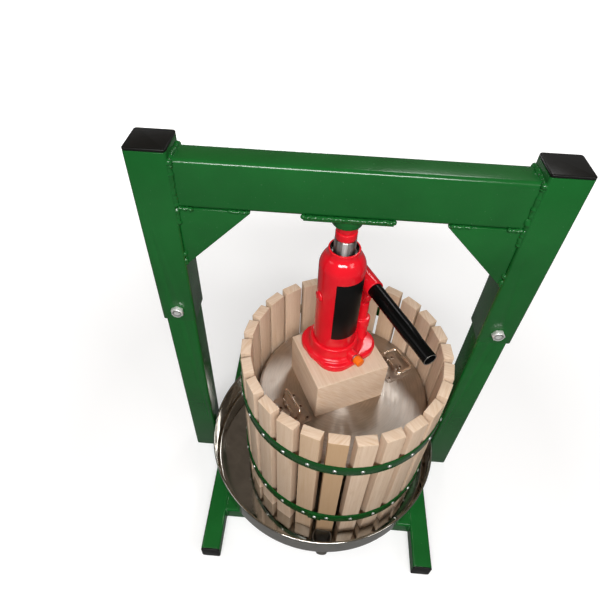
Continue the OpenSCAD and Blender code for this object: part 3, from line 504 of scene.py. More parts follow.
def polar(f, centre):
    """Radius and direction about an upright line through centre."""
    flat = f.where((1, 1, 1e6), centre)
    radius = f.add("ShaderNodeVectorMath", {0: flat}, operation="LENGTH").outputs["Value"]
    parts = f.add("ShaderNodeSeparateXYZ", {0: flat})
    return flat, radius, f.math("ARCTAN2", parts.outputs["Y"], parts.outputs["X"])


def ring_lines(f, radius, around, groove, stretch):
    """Noise drawn out along circles."""
    lines = {0: f.math("DIVIDE", radius, groove), 1: f.math("MULTIPLY", around, stretch)}
    return f.noise(f.add("ShaderNodeCombineXYZ", lines).outputs[0], 2.0, 0.6)


def turned_sheet(name, rgb, centre, roughness, brushing):
    """Sheet steel brushed in circles, so that its shine fans out from the middle."""
    f = Finish(name, rgb, Metallic=1.0, Anisotropic=brushing)
    flat, radius, around = polar(f, centre)
    streaks = ring_lines(f, radius, around, 0.0024, 3.0)
    smear = f.noise(f.where(0.09, centre), 2.0, 0.5)
    value = f.blend(streaks, 0.5, smear, 0.5)
    f.put("Base Color", f.mix(f.spread(value, 0.35, 0.65), shade(rgb, 0.8), shade(rgb, 1.18)))
    f.put("Roughness", f.spread(streaks, 0.3, 0.7, roughness * 0.78, roughness * 1.25))
    spoke = f.add("ShaderNodeVectorMath", {0: flat, 1: (0, 0, 0.004)}, operation="ADD").outputs["Vector"]
    f.put("Tangent", f.add("ShaderNodeVectorMath", {0: spoke}, operation="NORMALIZE").outputs["Vector"])
    f.bump(streaks, 0.25, 0.0004)
    return f.material


def tray_sheet(name, rgb, centre, roughness):
    """Mirror-bright sheet with faint drawing lines, dried drops and a light film."""
    f = Finish(name, rgb, Metallic=1.0)
    radius, around = polar(f, centre)[1:]
    film = f.noise(f.where((0.045, 0.045, 0.03), centre), 5.0, 0.62, 0.8)
    drops = f.add("ShaderNodeTexVoronoi", {"Vector": f.where(0.013), "Scale": 1.0},
                  feature="DISTANCE_TO_EDGE").outputs["Distance"]
    tone = f.mix(f.spread(film, 0.3, 0.72), shade(rgb, 0.78), shade(rgb, 1.2))
    f.put("Base Color", f.mix(f.spread(drops, 0.02, 0.0, 0.0, 0.25), tone, shade(rgb, 1.5)))
    f.put("Roughness", f.spread(film, 0.35, 0.75, roughness * 0.7, roughness * 1.8))
    f.bump(ring_lines(f, radius, around, 0.0016, 4.0), 0.02, 0.0002)
    return f.material


def beech(name, light, dark, brown, turned=(0, 0, 0), per_piece=False):
    """Planed beech with its grain along the pattern's Z: bands, fibres, short flecks and ringed end grain."""
    f = Finish(name, light, Specular_IOR_Level=0.25)
    tone, seed, slant = None, 0.0, 0.75
    if per_piece:
        tone = f.add("ShaderNodeAttribute", attribute_name="tone").outputs["Fac"]
        seed = f.math("MULTIPLY", tone, 61.0)
        slant = f.math("MULTIPLY", tone, 9.0)

    def drawn(thick, long, detail, rough, warp=0.0):
        return f.noise(f.where((thick, thick, long), turned=turned), detail, rough, warp, seed)

    figure = drawn(0.007, 0.22, 3.0, 0.6, 0.5)
    fibre = drawn(0.0022, 0.06, 2.0, 0.6)
    fleck = drawn(0.0015, 0.009, 1.0, 0.5)
    value = f.blend(figure, 0.55, fibre, 0.45)
    long_grain = f.mix(f.spread(value, 0.34, 0.74), light, dark)
    long_grain = f.mix(f.spread(fleck, 0.62, 0.74, 0.0, 0.28), long_grain, shade(dark, 0.68))
    stain = drawn(0.02, 0.07, 3.0, 0.6, 0.6)
    long_grain = f.mix(f.spread(stain, 0.58, 0.76, 0.0, 0.4), long_grain, brown)
    if per_piece:
        long_grain = f.mix(f.spread(tone, 0.0, 0.7, 0.0, 0.25), long_grain, dark)
        long_grain = f.mix(f.spread(tone, 0.74, 0.98, 0.0, 0.85), long_grain, brown)
    slope = f.add("ShaderNodeCombineXYZ", {2: slant}).outputs[0]
    across = {"Vector": f.where(turned=turned), "Rotation": slope, "Scale": (0.0024, 0.03, 0.06)}
    across = f.add("ShaderNodeMapping", across, vector_type="TEXTURE").outputs["Vector"]
    rings = f.noise(across, 2.0, 0.55, 0.15, seed)
    end_grain = f.mix(f.spread(rings, 0.34, 0.7), light, shade(dark, 1.06))
    facing = {"Vector": f.add("ShaderNodeTexCoord").outputs["Normal"], "Rotation": turned}
    facing = f.add("ShaderNodeMapping", facing, vector_type="TEXTURE").outputs["Vector"]
    upward = f.add("ShaderNodeSeparateXYZ", {0: facing}).outputs["Z"]
    end = f.spread(f.math("ABSOLUTE", upward), 0.8, 0.95)
    f.put("Base Color", f.mix(end, long_grain, end_grain))
    f.put("Roughness", f.spread(fibre, 0.3, 0.7, 0.48, 0.66))
    f.bump(f.math("ADD", fibre, f.math("MULTIPLY", fleck, -0.4)), 0.16, 0.0005)
    return f.material


class PRESS_OT_finishes(bpy.types.Operator):
    """Mixes the paints, metals, plastics and woods"""

    bl_idname = "press.finishes"
    bl_label = "Finishes"

    def execute(self, context):
        c, s = context.scene.press_colours, context.scene.press_sizes
        lo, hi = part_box("press_plate")
        plate_at = (*plan_middle(lo, hi), hi.z)
        light, dark, brown = c.beech_light[:], c.beech_dark[:], c.beech_brown[:]
        block_turn = (math.pi / 2, 0, s.block_turn)
        grinding = (0.0022, 0.0022, 0.3)
        FINISHES.update({
            "green": paint("green_powder_coat", c.green[:], 0.19, 0.0035, 0.45),
            "red": paint("red_enamel", c.red[:], 0.13, 0.0045, 0.4),
            # The hoops carry the frame's green darkened to 0.68: painted shade on their bands
            "hoops": paint("hoop_green_painted_shade", shade(c.green[:], 0.68), 0.22, 0.0035, 0.3),
            "black": paint("black_enamel", c.black[:], 0.24, 0.004, 0.12),
            "panel": moulded("black_panel", c.panel[:], 0.34, 0.1, 0.1, 0.003),
            "caps": moulded("cap_plastic", c.plastic[:], 0.34, 0.25, 0.22),
            "orange": moulded("knob_plastic", c.orange[:], 0.34, 0.1, 0.3),
            # Dark discs in the rivets' holes: painted shade
            "rivet_hole_shade": moulded("rivet_hole_painted_shade", c.rivet_hole_shade[:], 0.5),
            "rubber": moulded("seal_rubber", c.plastic[:], 0.6),
            "zinc": plated("zinc_plate", c.zinc[:], 0.3, metal=0.8),
            # Lighter and darker copies of the zinc for the bolt heads: a painted sheen on the hexagons and
            # painted shade in the dishes
            "bright": plated("zinc_with_painted_sheen", shade(c.zinc[:], 1.2), 0.2, metal=0.5),
            "dish_shade": plated("zinc_with_painted_dish_shade", shade(c.zinc[:], 0.5), 0.3, metal=0.6),
            "nickel": plated("nickel_plate", shade(c.nickel[:], 1.15), 0.09, dent=0.01),
            "strap": plated("strap_steel", c.strap[:], 0.36),
            "ground": plated("ground_steel", c.ground[:], 0.34, 0.05, 0.1, 0.8, grinding),
            "ram": plated("ram_steel", c.ground[:], 0.36, 0.05, 0.1, 1.0, grinding, 0.9),
            # Near-black steel inside the jack's neck, and painted shade in the hoop screws' recesses
            "bore": plated("dark_bore_and_painted_recess_shade", c.bore[:], 0.4),
            "satin": plated("satin_steel", shade(c.tray_steel[:], 0.6), 0.4),
            "plate": turned_sheet("turned_stainless", c.stainless[:], plate_at, 0.4, 0.97),
            "tray": tray_sheet("tray_stainless", c.tray_steel[:], s.tray_at[:], 0.07),
            "staves": beech("stave_beech", light, dark, brown, per_piece=True),
            "block": beech("block_beech", shade(light, 0.92), shade(dark, 0.92), brown, block_turn),
        })
        return {"FINISHED"}


# Frame


class PRESS_OT_frame_tubes(bpy.types.Operator):
    """Rounds the cut edges of the tubes, plates and boss of the frame and paints them"""

    bl_idname = "press.frame_tubes"
    bl_label = "Frame tubes"

    def execute(self, context):
        lo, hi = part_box("top_beam")
        beam = box((hi.y - lo.y, hi.z - lo.z, hi.x - lo.x), 0.006)
        lying = turn("Y", math.pi / 2) @ turn("Z", math.pi / 2)
        beam.transform(move(lo.x, 0, (lo.z + hi.z) / 2) @ lying)
        stand_in(beam, "top_beam_painted", "green", "top_beam")
        painted = ["left_sleeve", "right_sleeve", "left_lower_post", "right_lower_post", "base_beam",
                   "left_front_foot", "right_front_foot", "left_rear_foot", "right_rear_foot",
                   "front_cross_tube", "rear_cross_tube", "front_gussets", "rear_gussets", "pad_plate",
                   "thrust_boss"]
        dress(painted, "_painted", "green", context.scene.press_sizes.edge)
        return {"FINISHED"}


class PRESS_OT_caps(bpy.types.Operator):
    """Moulds the plastic caps on the sleeves and feet"""

    bl_idname = "press.caps"
    bl_label = "Caps"

    def execute(self, context):
        s = context.scene.press_sizes
        base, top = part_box("left_sleeve")[1].z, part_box("sleeve_caps")[1].z
        caps = []
        for side in (-1, 1):
            cap = box((s.sleeve_w, s.sleeve_w, top - base), 0.004, 0.0014)
            caps.append((cap, move(side * s.post_x, 0, base)))
        stand_in(joined(*caps), "sleeve_cap_mouldings", "caps", "sleeve_caps")
        lo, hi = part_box("left_front_foot")
        wide, high, thick = hi.x - lo.x, hi.z - lo.z, lo.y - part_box("foot_caps")[0].y
        middle = (lo.x + hi.x) / 2
        caps = []
        for side in (-1, 1):
            for end in (-1, 1):
                cap = box((wide, high, thick), 0.004, 0.0012)
                where = move(side * middle, end * -lo.y, high / 2) @ turn("X", end * -math.pi / 2)
                caps.append((cap, where))
        stand_in(joined(*caps), "foot_cap_mouldings", "caps", "foot_caps")
        return {"FINISHED"}


class PRESS_OT_bolts(bpy.types.Operator):
    """Turns the dished hexagon heads, and dresses the washers and nuts behind"""

    bl_idname = "press.bolts"
    bl_label = "Bolts"

    def execute(self, context):
        s = context.scene.press_sizes
        lo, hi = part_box("frame_bolts")
        head_h, front = -s.sleeve_w / 2 - lo.y, -s.sleeve_w / 2
        heads = []
        end = front - hi.y
        dish = [(0, head_h - 0.001), (0.0043, head_h - 0.0009), (0.0066, head_h - 0.0001),
                (0.0073, head_h + 0.0003), (0.0078, head_h - 0.0003), (0.0078, head_h - 0.003),
                (0, head_h - 0.003)]
        for side, hand in ((-1, math.radians(30)), (1, 0.0)):
            head = hexagon(s.bolt_flats / math.sqrt(3), head_h - 0.0012)
            bevel_edges(head, sharp_edges(head), 0.0007, 2)
            crown = spun(dish, steps=48)
            # The dish's ring takes the darker zinc: painted shade in the dish
            mark(crown, lambda m: m.z > head_h - 0.002 and 0.0043 < m.xy.length < 0.0068)
            shank = spun([(0, 0.001), (0.005, 0.001), (0.005, end), (0, end)], [(2, 0.001, 2)], steps=32)
            where = move(side * s.post_x, front, s.bolt_z) @ turn("X", math.pi / 2)
            heads += [(head, where @ turn("Z", hand + math.pi / 6)), (crown, where), (shank, where)]
        # The hexagons take the lighter zinc as a painted sheen, and the dish rings take the darker zinc as
        # painted shade
        stand_in(joined(*heads), "hex_bolts", ("bright", "dish_shade"), "frame_bolts")
        dress(("frame_washers", "frame_nuts"), "_plated", "zinc", 0.0004)
        return {"FINISHED"}


def bead(start, end, radius, rng, flat=0.8):
    """A lumpy weld bead between two points, drawn in at both ends."""
    start, end = Vector(start), Vector(end)
    span = (end - start).length
    bm = bmesh.new()
    bmesh.ops.create_cone(bm, cap_ends=True, segments=8, radius1=radius, radius2=radius, depth=span,
                          matrix=move(0, 0, span / 2))
    sides = uprights(bm, span / 2)
    bmesh.ops.subdivide_edges(bm, edges=sides, cuts=max(2, round(span / (0.62 * radius))), use_grid_fill=True)
    rings = {}
    for v in bm.verts:
        rings.setdefault(round(v.co.z, 6), []).append(v)
    for index, z in enumerate(sorted(rings)):
        swell = rng.uniform(0.6, 0.9) if index % 2 else rng.uniform(0.95, 1.4)
        swell = 0.45 if index in (0, len(rings) - 1) else swell
        bmesh.ops.scale(bm, vec=(swell, swell * flat, 1), verts=rings[z])
        sway = (rng.uniform(-0.2, 0.2) * radius, rng.uniform(-0.2, 0.2) * radius, 0)
        bmesh.ops.translate(bm, vec=sway, verts=rings[z])
    bm.transform(Matrix.Translation(start) @ (end - start).to_track_quat("Z", "Y").to_matrix().to_4x4())
    return bm


def blob(at, radius, rng):
    """A single drop of weld metal."""
    bm = bmesh.new()
    bmesh.ops.create_icosphere(bm, subdivisions=2, radius=radius)
    for v in bm.verts:
        v.co *= rng.uniform(0.88, 1.12)
    bm.transform(Matrix.Translation(at))
    return bm


class PRESS_OT_welds(bpy.types.Operator):
    """Lays the weld beads of the gussets, the pad plate, the beam and the feet"""

    bl_idname = "press.welds"
    bl_label = "Welds"

    def execute(self, context):
        beam_lo, beam_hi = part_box("top_beam")
        gus_lo, gus_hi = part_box("front_gussets")
        pad_lo, pad_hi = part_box("pad_plate")
        cross_lo, cross_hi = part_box("front_cross_tube")
        leg = gus_hi.z - gus_lo.z
        rng = random.Random(WELD_SEED)
        beads = []
        top = beam_hi.z
        for side in (-1, 1):
            x, low, tip = side * beam_hi.x, beam_lo.z, gus_lo.z
            for face in (gus_lo.y, -gus_lo.y):
                root = (x, face, low)
                near, far = x - side * (leg - 0.028), x - side * (leg - 0.002)
                beads += [
                    bead(root, (x - side * 0.021, face, low), 0.0038, rng),
                    bead((x, face, low + 0.002), (x, face, low - 0.026), 0.004, rng),
                    bead((near, face, low), (far, face, low), 0.0031, rng),
                    bead(root, (x, face, top - 0.002), 0.0044, rng),
                    blob((x, face, tip + 0.017), 0.0042, rng),
                    bead((x, face, tip + 0.010), (x, face, tip - 0.002), 0.0042, rng),
                    blob((x, face, top - 0.003), 0.0052, rng),
                ]
            beads.append(bead((x, beam_lo.y + 0.002, top), (x, beam_hi.y - 0.002, top), 0.0044, rng))
        for face in (-1, 1):
            ledge, top = face * (pad_hi.y - 0.0012), pad_hi.z
            beads.append(bead((pad_lo.x + 0.001, ledge, top), (pad_hi.x - 0.001, ledge, top), 0.0036, rng))
            for side in (-1, 1):
                x, y, ridge = side * cross_hi.x, face * -cross_lo.y, cross_hi.z - 0.001
                beads += [
                    bead((x, y, cross_lo.z + 0.004), (x, y, cross_hi.z - 0.002), 0.0024, rng),
                    bead((x, y, ridge), (x, y - face * 0.05, ridge), 0.0022, rng),
                    blob((side * pad_hi.x, ledge * 0.93, top - 0.0006), 0.0036, rng),
                ]
        whole = joined(*[(b, Matrix.Identity(4)) for b in beads])
        obj = piece(whole, "weld_beads", "green", "frame", smooth=80)
        smooth = obj.modifiers.new("soft", "SUBSURF")
        smooth.levels = smooth.render_levels = 1
        return {"FINISHED"}


# Basket


class PRESS_OT_staves(bpy.types.Operator):
    """Planes the staves, each with its own tone"""

    bl_idname = "press.staves"
    bl_label = "Staves"

    def execute(self, context):
        s = context.scene.press_sizes
        rng = random.Random(STAVE_SEED)
        whole = []
        for i in range(s.staves):
            bm = bmesh.new()
            bmesh.ops.create_cube(bm, size=1, matrix=move(s.basket_r + s.stave_t / 2, 0, s.stave_len / 2)
                                  @ Matrix.Diagonal((s.stave_t, s.stave_in, s.stave_len, 1)))
            outer = [v for v in bm.verts if v.co.x > s.basket_r + s.stave_t / 2]
            bmesh.ops.scale(bm, vec=(1, s.stave_out / s.stave_in, 1), verts=outer)
            bevel_edges(bm, bm.edges[:], s.stave_edge * rng.uniform(0.8, 1.2), 3)
            layer = bm.faces.layers.float.new("tone")
            tone = BROWN_TONE if i == s.brown_stave else DARKEST_TONE * rng.random()
            for face in bm.faces:
                face[layer] = tone
            taller = Matrix.Diagonal((1, 1, 1 + rng.uniform(-0.004, 0.002), 1))
            askew = rng.uniform(-0.004, 0.004)
            about = turn("Z", s.basket_turn + askew + i * FULL_TURN / s.staves)
            whole.append((bm, move(*s.basket_at) @ about @ taller))
        stand_in(joined(*whole), "beech_staves", "staves", "staves")
        return {"FINISHED"}


class PRESS_OT_hoops(bpy.types.Operator):
    """Rolls the two hoops with their lap joints, and sets the screw heads"""

    bl_idname = "press.hoops"
    bl_label = "Hoops"

    def execute(self, context):
        s = context.scene.press_sizes
        foot = move(*s.basket_at)
        r, t, w = s.hoop_r, s.hoop_t, s.hoop_w
        rounds = [(i, 0.00045, 2) for i in range(4)]
        head_r = s.screw_head / 2
        screw = [(0, 0.0006), (0.0009, 0.0007), (0.0013, 0.0019), (head_r * 0.72, 0.0016), (head_r, 0.0005),
                 (head_r, -0.001)]
        hoops = [("lower_hoop", s.hoop_low, s.lap_turn), ("upper_hoop", s.hoop_high, s.lap_turn + math.pi)]
        heads = []
        for node, z, lap_at in hoops:
            top, under, over = z + w, r + t / 2, r + 2 * t
            band = spun([(r, z), (r + t, z), (r + t, top), (r, top)], rounds, True, 180)
            lap = spun([(under, z), (over, z), (over, top), (under, top)], rounds, True, 10, s.lap_span)
            parts = [(band, foot), (lap, foot @ turn("Z", lap_at - s.lap_span / 2))]
            # The bands take the green darkened for the hoops: painted shade
            stand_in(joined(*parts), node + "_band", "hoops", node)
            for i in range(s.staves + 1):
                lapped = i == s.staves
                about = lap_at if lapped else s.basket_turn + i * FULL_TURN / s.staves
                reach = r + (2 * t if lapped else t)
                head = spun(screw, steps=12)
                # The recess in each screw head takes the near-black bore steel: painted shade
                mark(head, lambda m: m.xy.length < 0.00125)
                where = foot @ turn("Z", about) @ move(reach, 0, z + w / 2) @ turn("Y", math.pi / 2)
                heads.append((head, where))
        stand_in(joined(*heads), "hoop_screw_heads", ("zinc", "bore"), "hoop_screws")
        return {"FINISHED"}


# Tray


def ring_at(bm, where, radius):
    """Draws a round wire and gives its edges."""
    made = bmesh.ops.create_circle(bm, cap_ends=False, segments=48, radius=radius, matrix=where)["verts"]
    return list(dict.fromkeys(e for v in made for e in v.link_edges))


def at_outlet(s, z=0.0):
    return move(s.outlet_side, -s.outlet_reach, z)


class PRESS_OT_tray(bpy.types.Operator):
    """Draws the tray with its rolled rim and pierced floor, and sets the spout"""

    bl_idname = "press.tray"
    bl_label = "Tray"

    def execute(self, context):
        s = context.scene.press_sizes
        t, r, h, rim = s.tray_t, s.tray_r, s.tray_h, s.rim_r
        low, flat = r - 0.002, r - 0.014
        bm = bmesh.new()
        outline(bm, [(flat, t), (low - t, t), (r - t, h - rim), (r, h - rim), (low, 0), (flat, 0)],
                [(1, 0.005, 8), (4, 0.006, 8)])
        swing(bm, 160)
        loops = []
        for z in (0, t):
            edges = ring_at(bm, at_outlet(s, z), s.outlet_r)
            loops += edges
            floor = [e for e in bm.edges if e.is_boundary and abs(e.verts[0].co.z - z) < 1e-5]
            bmesh.ops.triangle_fill(bm, use_beauty=True, use_dissolve=False, edges=floor + edges)
        bmesh.ops.bridge_loops(bm, edges=loops)
        close_up(bm)
        roll = spun(round_wire(r, h - rim, rim, 14), closed=True, steps=160)
        bowl = joined((bm, at_tray(s)), (roll, at_tray(s)))
        stand_in(bowl, "tray_bowl", "tray", "tray_pan", smooth=30)
        lip = spun(round_wire(s.outlet_r + 0.0012, t, 0.0014, 10), closed=True, steps=48)
        tube = bmesh.new()
        end = math.pi / 2 - s.spout_slope
        # Rings of the spout, first inside and then outside: forward, up, width, depth and share of the slope
        course = [
            (0.0, 0.001, 1.0, 1.0, 0.0), (0.001, -0.004, 0.95, 0.95, 0.1), (0.004, -0.008, 0.82, 0.82, 0.45),
            (0.010, -0.012, 0.68, 0.68, 0.8), (0.0195, -0.0165, 0.56, 0.56, 1.0),
            (0.020, -0.0168, 0.64, 0.64, 1.0), (0.0165, -0.0135, 0.82, 0.74, 0.9),
            (0.012, -0.0095, 1.12, 0.82, 0.7), (0.0075, -0.005, 1.5, 0.88, 0.35),
            (0.003, 0.0005, 1.8, 0.97, 0.0),
        ]
        rings = []
        for y, z, wide, deep, lean in course:
            where = at_outlet(s) @ move(0, -y, z) @ turn("X", -lean * end)
            rings.append(ring_at(tube, where @ Matrix.Diagonal((wide, deep, 1, 1)), s.outlet_r))
        for a, b in zip(rings, rings[1:] + rings[:1]):
            bmesh.ops.bridge_loops(tube, edges=a + b)
        close_up(tube)
        whole = joined((tube, at_tray(s)), (lip, at_tray(s) @ at_outlet(s)))
        stand_in(whole, "outlet_tube", "satin", "outlet_spout", smooth=60)
        return {"FINISHED"}


# Press plate and block


class PRESS_OT_plate(bpy.types.Operator):
    """Spins the press plate, and dresses its folding handles"""

    bl_idname = "press.plate"
    bl_label = "Press plate"

    def execute(self, context):
        s = context.scene.press_sizes
        lo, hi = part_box("press_plate")
        r, deep, t = s.plate_r, s.plate_edge, 0.003
        disc = spun([(0, 0), (r, 0), (r, -deep), (r - t, -deep), (r - t, -t), (0, -t)],
                    [(1, 0.006, 8), (2, 0.001, 2), (3, 0.001, 2), (4, 0.003, 5)], steps=160)
        middle = move(*plan_middle(lo, hi), hi.z)
        disc.transform(middle)
        stand_in(disc, "round_plate", "plate", "press_plate")
        dress(("left_handle_base", "right_handle_base"), "_plated", "strap", 0.0004)
        heads = []
        rim = [(0.0021, 0.0002), (0.0021, 0.0013), (0.0036, 0.0013), (0.0043, -0.0003), (0.0021, -0.0003)]
        hole_shade_profile = [(0, 0.0004), (0.0023, 0.0004), (0.0023, -0.0003), (0, -0.0003)]
        rivets = [(-0.0195, -0.0235), (-0.0195, 0), (-0.0195, 0.0235), (0.0115, -0.01175), (0.0115, 0.01175)]
        for about in (s.handle_turn, s.handle_turn + math.pi):
            hinge = middle @ turn("Z", about) @ move(s.hinge_reach, 0, 0.0015)
            for x, y in rivets:
                head = spun(rim, [(1, 0.0003, 2), (2, 0.0008, 3)], True, 24)
                hole_shade = spun(hole_shade_profile, steps=20)
                # A near-black brown disc in each rivet's hole: painted shade
                mark(hole_shade, lambda m: True)
                heads += [(head, hinge @ move(x, y, 0)), (hole_shade, hinge @ move(x, y, 0))]
        stand_in(joined(*heads), "handle_rivet_heads", ("strap", "rivet_hole_shade"), "handle_rivets")
        dress(("left_bail", "right_bail"), "_wire", "nickel", smooth=50)
        return {"FINISHED"}


class PRESS_OT_block(bpy.types.Operator):
    """Cuts the wooden block"""

    bl_idname = "press.block"
    bl_label = "Block"

    def execute(self, context):
        s = context.scene.press_sizes
        lo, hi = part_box("press_block")
        bm = box(s.block_size[:], 0, 0.0016, 3)
        bm.transform(move(*plan_middle(lo, hi), lo.z) @ turn("Z", s.block_turn))
        stand_in(bm, "beech_block", "block", "press_block")
        return {"FINISHED"}


# Jack


class PRESS_OT_jack_body(bpy.types.Operator):
    """Casts the jack's base, turns its reservoir and lays the plain panel on it"""

    bl_idname = "press.jack_body"
    bl_label = "Jack body"

    def execute(self, context):
        s = context.scene.press_sizes
        jack, pump = at_jack(s), at_pump(s)
        flange = bmesh.new()
        extent = Matrix.Diagonal((*FLANGE, 1))
        bmesh.ops.create_cube(flange, size=1, matrix=move(0, 0.01, FLANGE[2] / 2) @ extent)
        bevel_edges(flange, uprights(flange, 0.005), 0.032, 16)
        bevel_edges(flange, [e for e in sharp_edges(flange) if e.verts[0].co.z > 0.005], 0.0045, 5)
        bevel_edges(flange, [e for e in sharp_edges(flange) if e.verts[0].co.z < 0.001], 0.001, 2)
        collar = spun([(0, 0.004), (0.046, 0.004), (0.046, 0.0115), (0.0395, 0.0135), (0.0385, 0.0255),
                       (0.0375, 0.033), (0.033, 0.033), (0.033, 0.028), (0, 0.028)],
                      [(2, 0.002, 4), (3, 0.004, 6), (5, 0.003, 5), (6, 0.0015, 3)])
        boss = spun([(0, 0.02), (0.009, 0.02), (0.009, 0.048), (0.0052, 0.048), (0.0052, 0.04), (0, 0.04)],
                    [(2, 0.0018, 3)], steps=40)
        seat = box((0.048, 0.018, 0.017), 0, 0.001)
        pump_boss = spun([(0, 0.004), (0.0165, 0.004), (0.0125, 0.0125), (0.0122, 0.034), (0, 0.034)],
                         [(2, 0.004, 5), (3, 0.0022, 4)], steps=56)
        cast = joined((flange, jack), (collar, jack), (boss, at_valve(s)),
                      (seat, jack @ move(0.024, 0.004, 0)), (pump_boss, pump))
        stand_in(cast, "jack_casting", "red", "jack_base")
        r = s.tank_r
        tank = spun([(r - 0.003, 0.024), (r, 0.024), (r, 0.1885), (0.0224, 0.1995), (0.0222, 0.208),
                     (0.0188, 0.208), (0.0186, 0.196), (r - 0.004, 0.187), (r - 0.003, 0.180)],
                    [(2, 0.0105, 12), (3, 0.0042, 6), (4, 0.0011, 4), (5, 0.0011, 4)], True, 112)
        # The inside of the neck takes the near-black bore steel, darker than the red
        mark(tank, lambda m: m.z > 0.19 and m.xy.length < 0.0198)
        tank.transform(jack)
        stand_in(tank, "jack_tank", ("red", "bore"), "jack_reservoir")
        inner, outer, low, high = r - 0.0005, r + 0.0004, 0.055, 0.166
        panel = spun([(inner, low), (outer, low), (outer, high), (inner, high)],
                     [(1, 0.0003, 2), (2, 0.0003, 2)], True, 32, PANEL_SPAN)
        panel.transform(move(*s.jack_at) @ turn("Z", PANEL_TURN))
        piece(panel, "plain_panel", "panel", "press")
        return {"FINISHED"}


class PRESS_OT_ram(bpy.types.Operator):
    """Turns the ram and the grooved saddle of its extension screw"""

    bl_idname = "press.ram"
    bl_label = "Ram"

    def execute(self, context):
        s = context.scene.press_sizes
        jack = at_jack(s)
        lo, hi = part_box("ram")
        low, high = lo.z - s.jack_at[2], hi.z - s.jack_at[2]
        r, bore, foot = 0.015, 0.01005, 0.01695
        bar = spun([(0, low), (foot, low), (foot, low + 0.016), (r, low + 0.016), (r, high), (bore, high),
                    (bore, high - 0.09), (0, high - 0.09)], [(4, 0.0012, 3)], steps=80)
        bar.transform(jack)
        stand_in(bar, "ram_bar", "ram", "ram")
        lo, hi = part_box("extension_screw")
        low, top = lo.z - s.jack_at[2], hi.z - s.jack_at[2]
        foot, r, screw = top - 0.026, 0.0147, 0.00995
        groove, waist = foot + 0.013, r - 0.0018
        saddle = spun([(0, low), (screw, low), (screw, foot), (r, foot), (r, groove - 0.002),
                       (waist, groove - 0.0012), (waist, groove + 0.0012), (r, groove + 0.002), (r, top),
                       (0.009, top), (0.008, top - 0.001), (0, top - 0.001)],
                      [(3, 0.0018, 4), (4, 0.0008, 3), (7, 0.0008, 3), (8, 0.0022, 4)], steps=72)
        saddle.transform(jack)
        stand_in(saddle, "grooved_saddle", "red", "extension_screw")
        return {"FINISHED"}


class PRESS_OT_pump(bpy.types.Operator):
    """Builds the pump column, the lever's socket and fork, and the handle tube"""

    bl_idname = "press.pump"
    bl_label = "Pump and lever"

    def execute(self, context):
        s = context.scene.press_sizes
        column = spun([(0.00605, 0.022), (0.00805, 0.022), (0.00805, 0.034), (0.0135, 0.034), (0.0135, 0.052),
                       (0.0081, 0.052), (0.0081, 0.084), (0.00605, 0.084)],
                      [(3, 0.0016, 3), (4, 0.0022, 4), (5, 0.0012, 3), (6, 0.0009, 3)], True, 56)
        column.transform(at_pump(s))
        stand_in(column, "pump_column", "red", "pump_cylinder")
        plunger = cad_copy("pump_plunger", 0.0004)
        piece(plunger, "plunger_painted", "red", "plunger", ["pump_plunger"])
        dress(("fulcrum_bracket", "fulcrum_pin", "plunger_pin"), "_painted", "red", 0.0006)
        socket = spun([(0, -0.012), (0.0135, -0.012), (0.0135, 0.044), (0.0114, 0.044), (0.0114, -0.0013),
                       (0, -0.0013)], [(1, 0.004, 6), (2, 0.0009, 3), (3, 0.0006, 3)], steps=64)
        low = math.sin(math.radians(-19)) * 0.025
        cheek = [(-0.0085, 0.0126), (-0.0085, 0), (-0.004, -0.0078), (0.0236, low - 0.0085),
                 (0.0312, low - 0.002), (0.0335, 0.0), (0.0335, 0.0126)]
        parts = [(socket, at_rod(s))]
        for y in (-0.0043, 0.0078):
            parts.append((prism(cheek, 0.0035, 0.0006), at_lever(s) @ move(0, y, 0)))
        stand_in(joined(*parts), "lever_fork", "red", "lever_socket")
        r, r_end, wall = 0.011, 0.00975, 0.0015
        foot, taper, neck, tip = -0.001, 0.136, 0.151, 0.181
        tube = spun([(r - wall, foot), (r, foot), (r, taper), (r_end, neck), (r_end, tip),
                     (r_end - wall, tip), (r_end - wall, neck), (r - wall, taper)],
                    [(4, 0.0005, 3), (5, 0.0004, 2)], True, 64)
        # The cut end takes the satin steel: bare steel at the cut, lighter than the black, and a painted
        # highlight on the rim
        mark(tube, lambda m: m.z > tip - 0.0004)
        tube.transform(at_rod(s))
        stand_in(tube, "handle_tube", ("black", "satin"), "handle_rod")
        return {"FINISHED"}


class PRESS_OT_valve(bpy.types.Operator):
    """Moulds the release knob and the filler plug"""

    bl_idname = "press.valve"
    bl_label = "Valve and plug"

    def execute(self, context):
        s = context.scene.press_sizes
        knob = hexagon(KNOB_R, KNOB_LONG)
        bevel_edges(knob, uprights(knob, 0.005), 0.003, 4)
        bevel_edges(knob, sharp_edges(knob, 40), 0.0018, 4)
        knob.transform(at_valve(s) @ move(0, 0, KNOB_OUT))
        stand_in(knob, "release_grip", "orange", "release_knob")
        plug = spun([(0, 0.03), (0.00425, 0.03), (0.00425, 0.0333), (0.0085, 0.0333), (0.0085, 0.0345),
                     (0.0062, 0.0362), (0.0019, 0.0366), (0.0016, 0.0352), (0, 0.0352)],
                    [(4, 0.0008, 3), (5, 0.0015, 3), (6, 0.0003, 2)], steps=48)
        dimple = spun([(0, 0.0356), (0.0018, 0.0356), (0.0018, 0.034), (0, 0.034)], steps=20)
        mark(dimple, lambda m: True)
        whole = joined((plug, at_plug(s)), (dimple, at_plug(s)))
        stand_in(whole, "filler_button", ("red", "rubber"), "filler_plug")
        return {"FINISHED"}


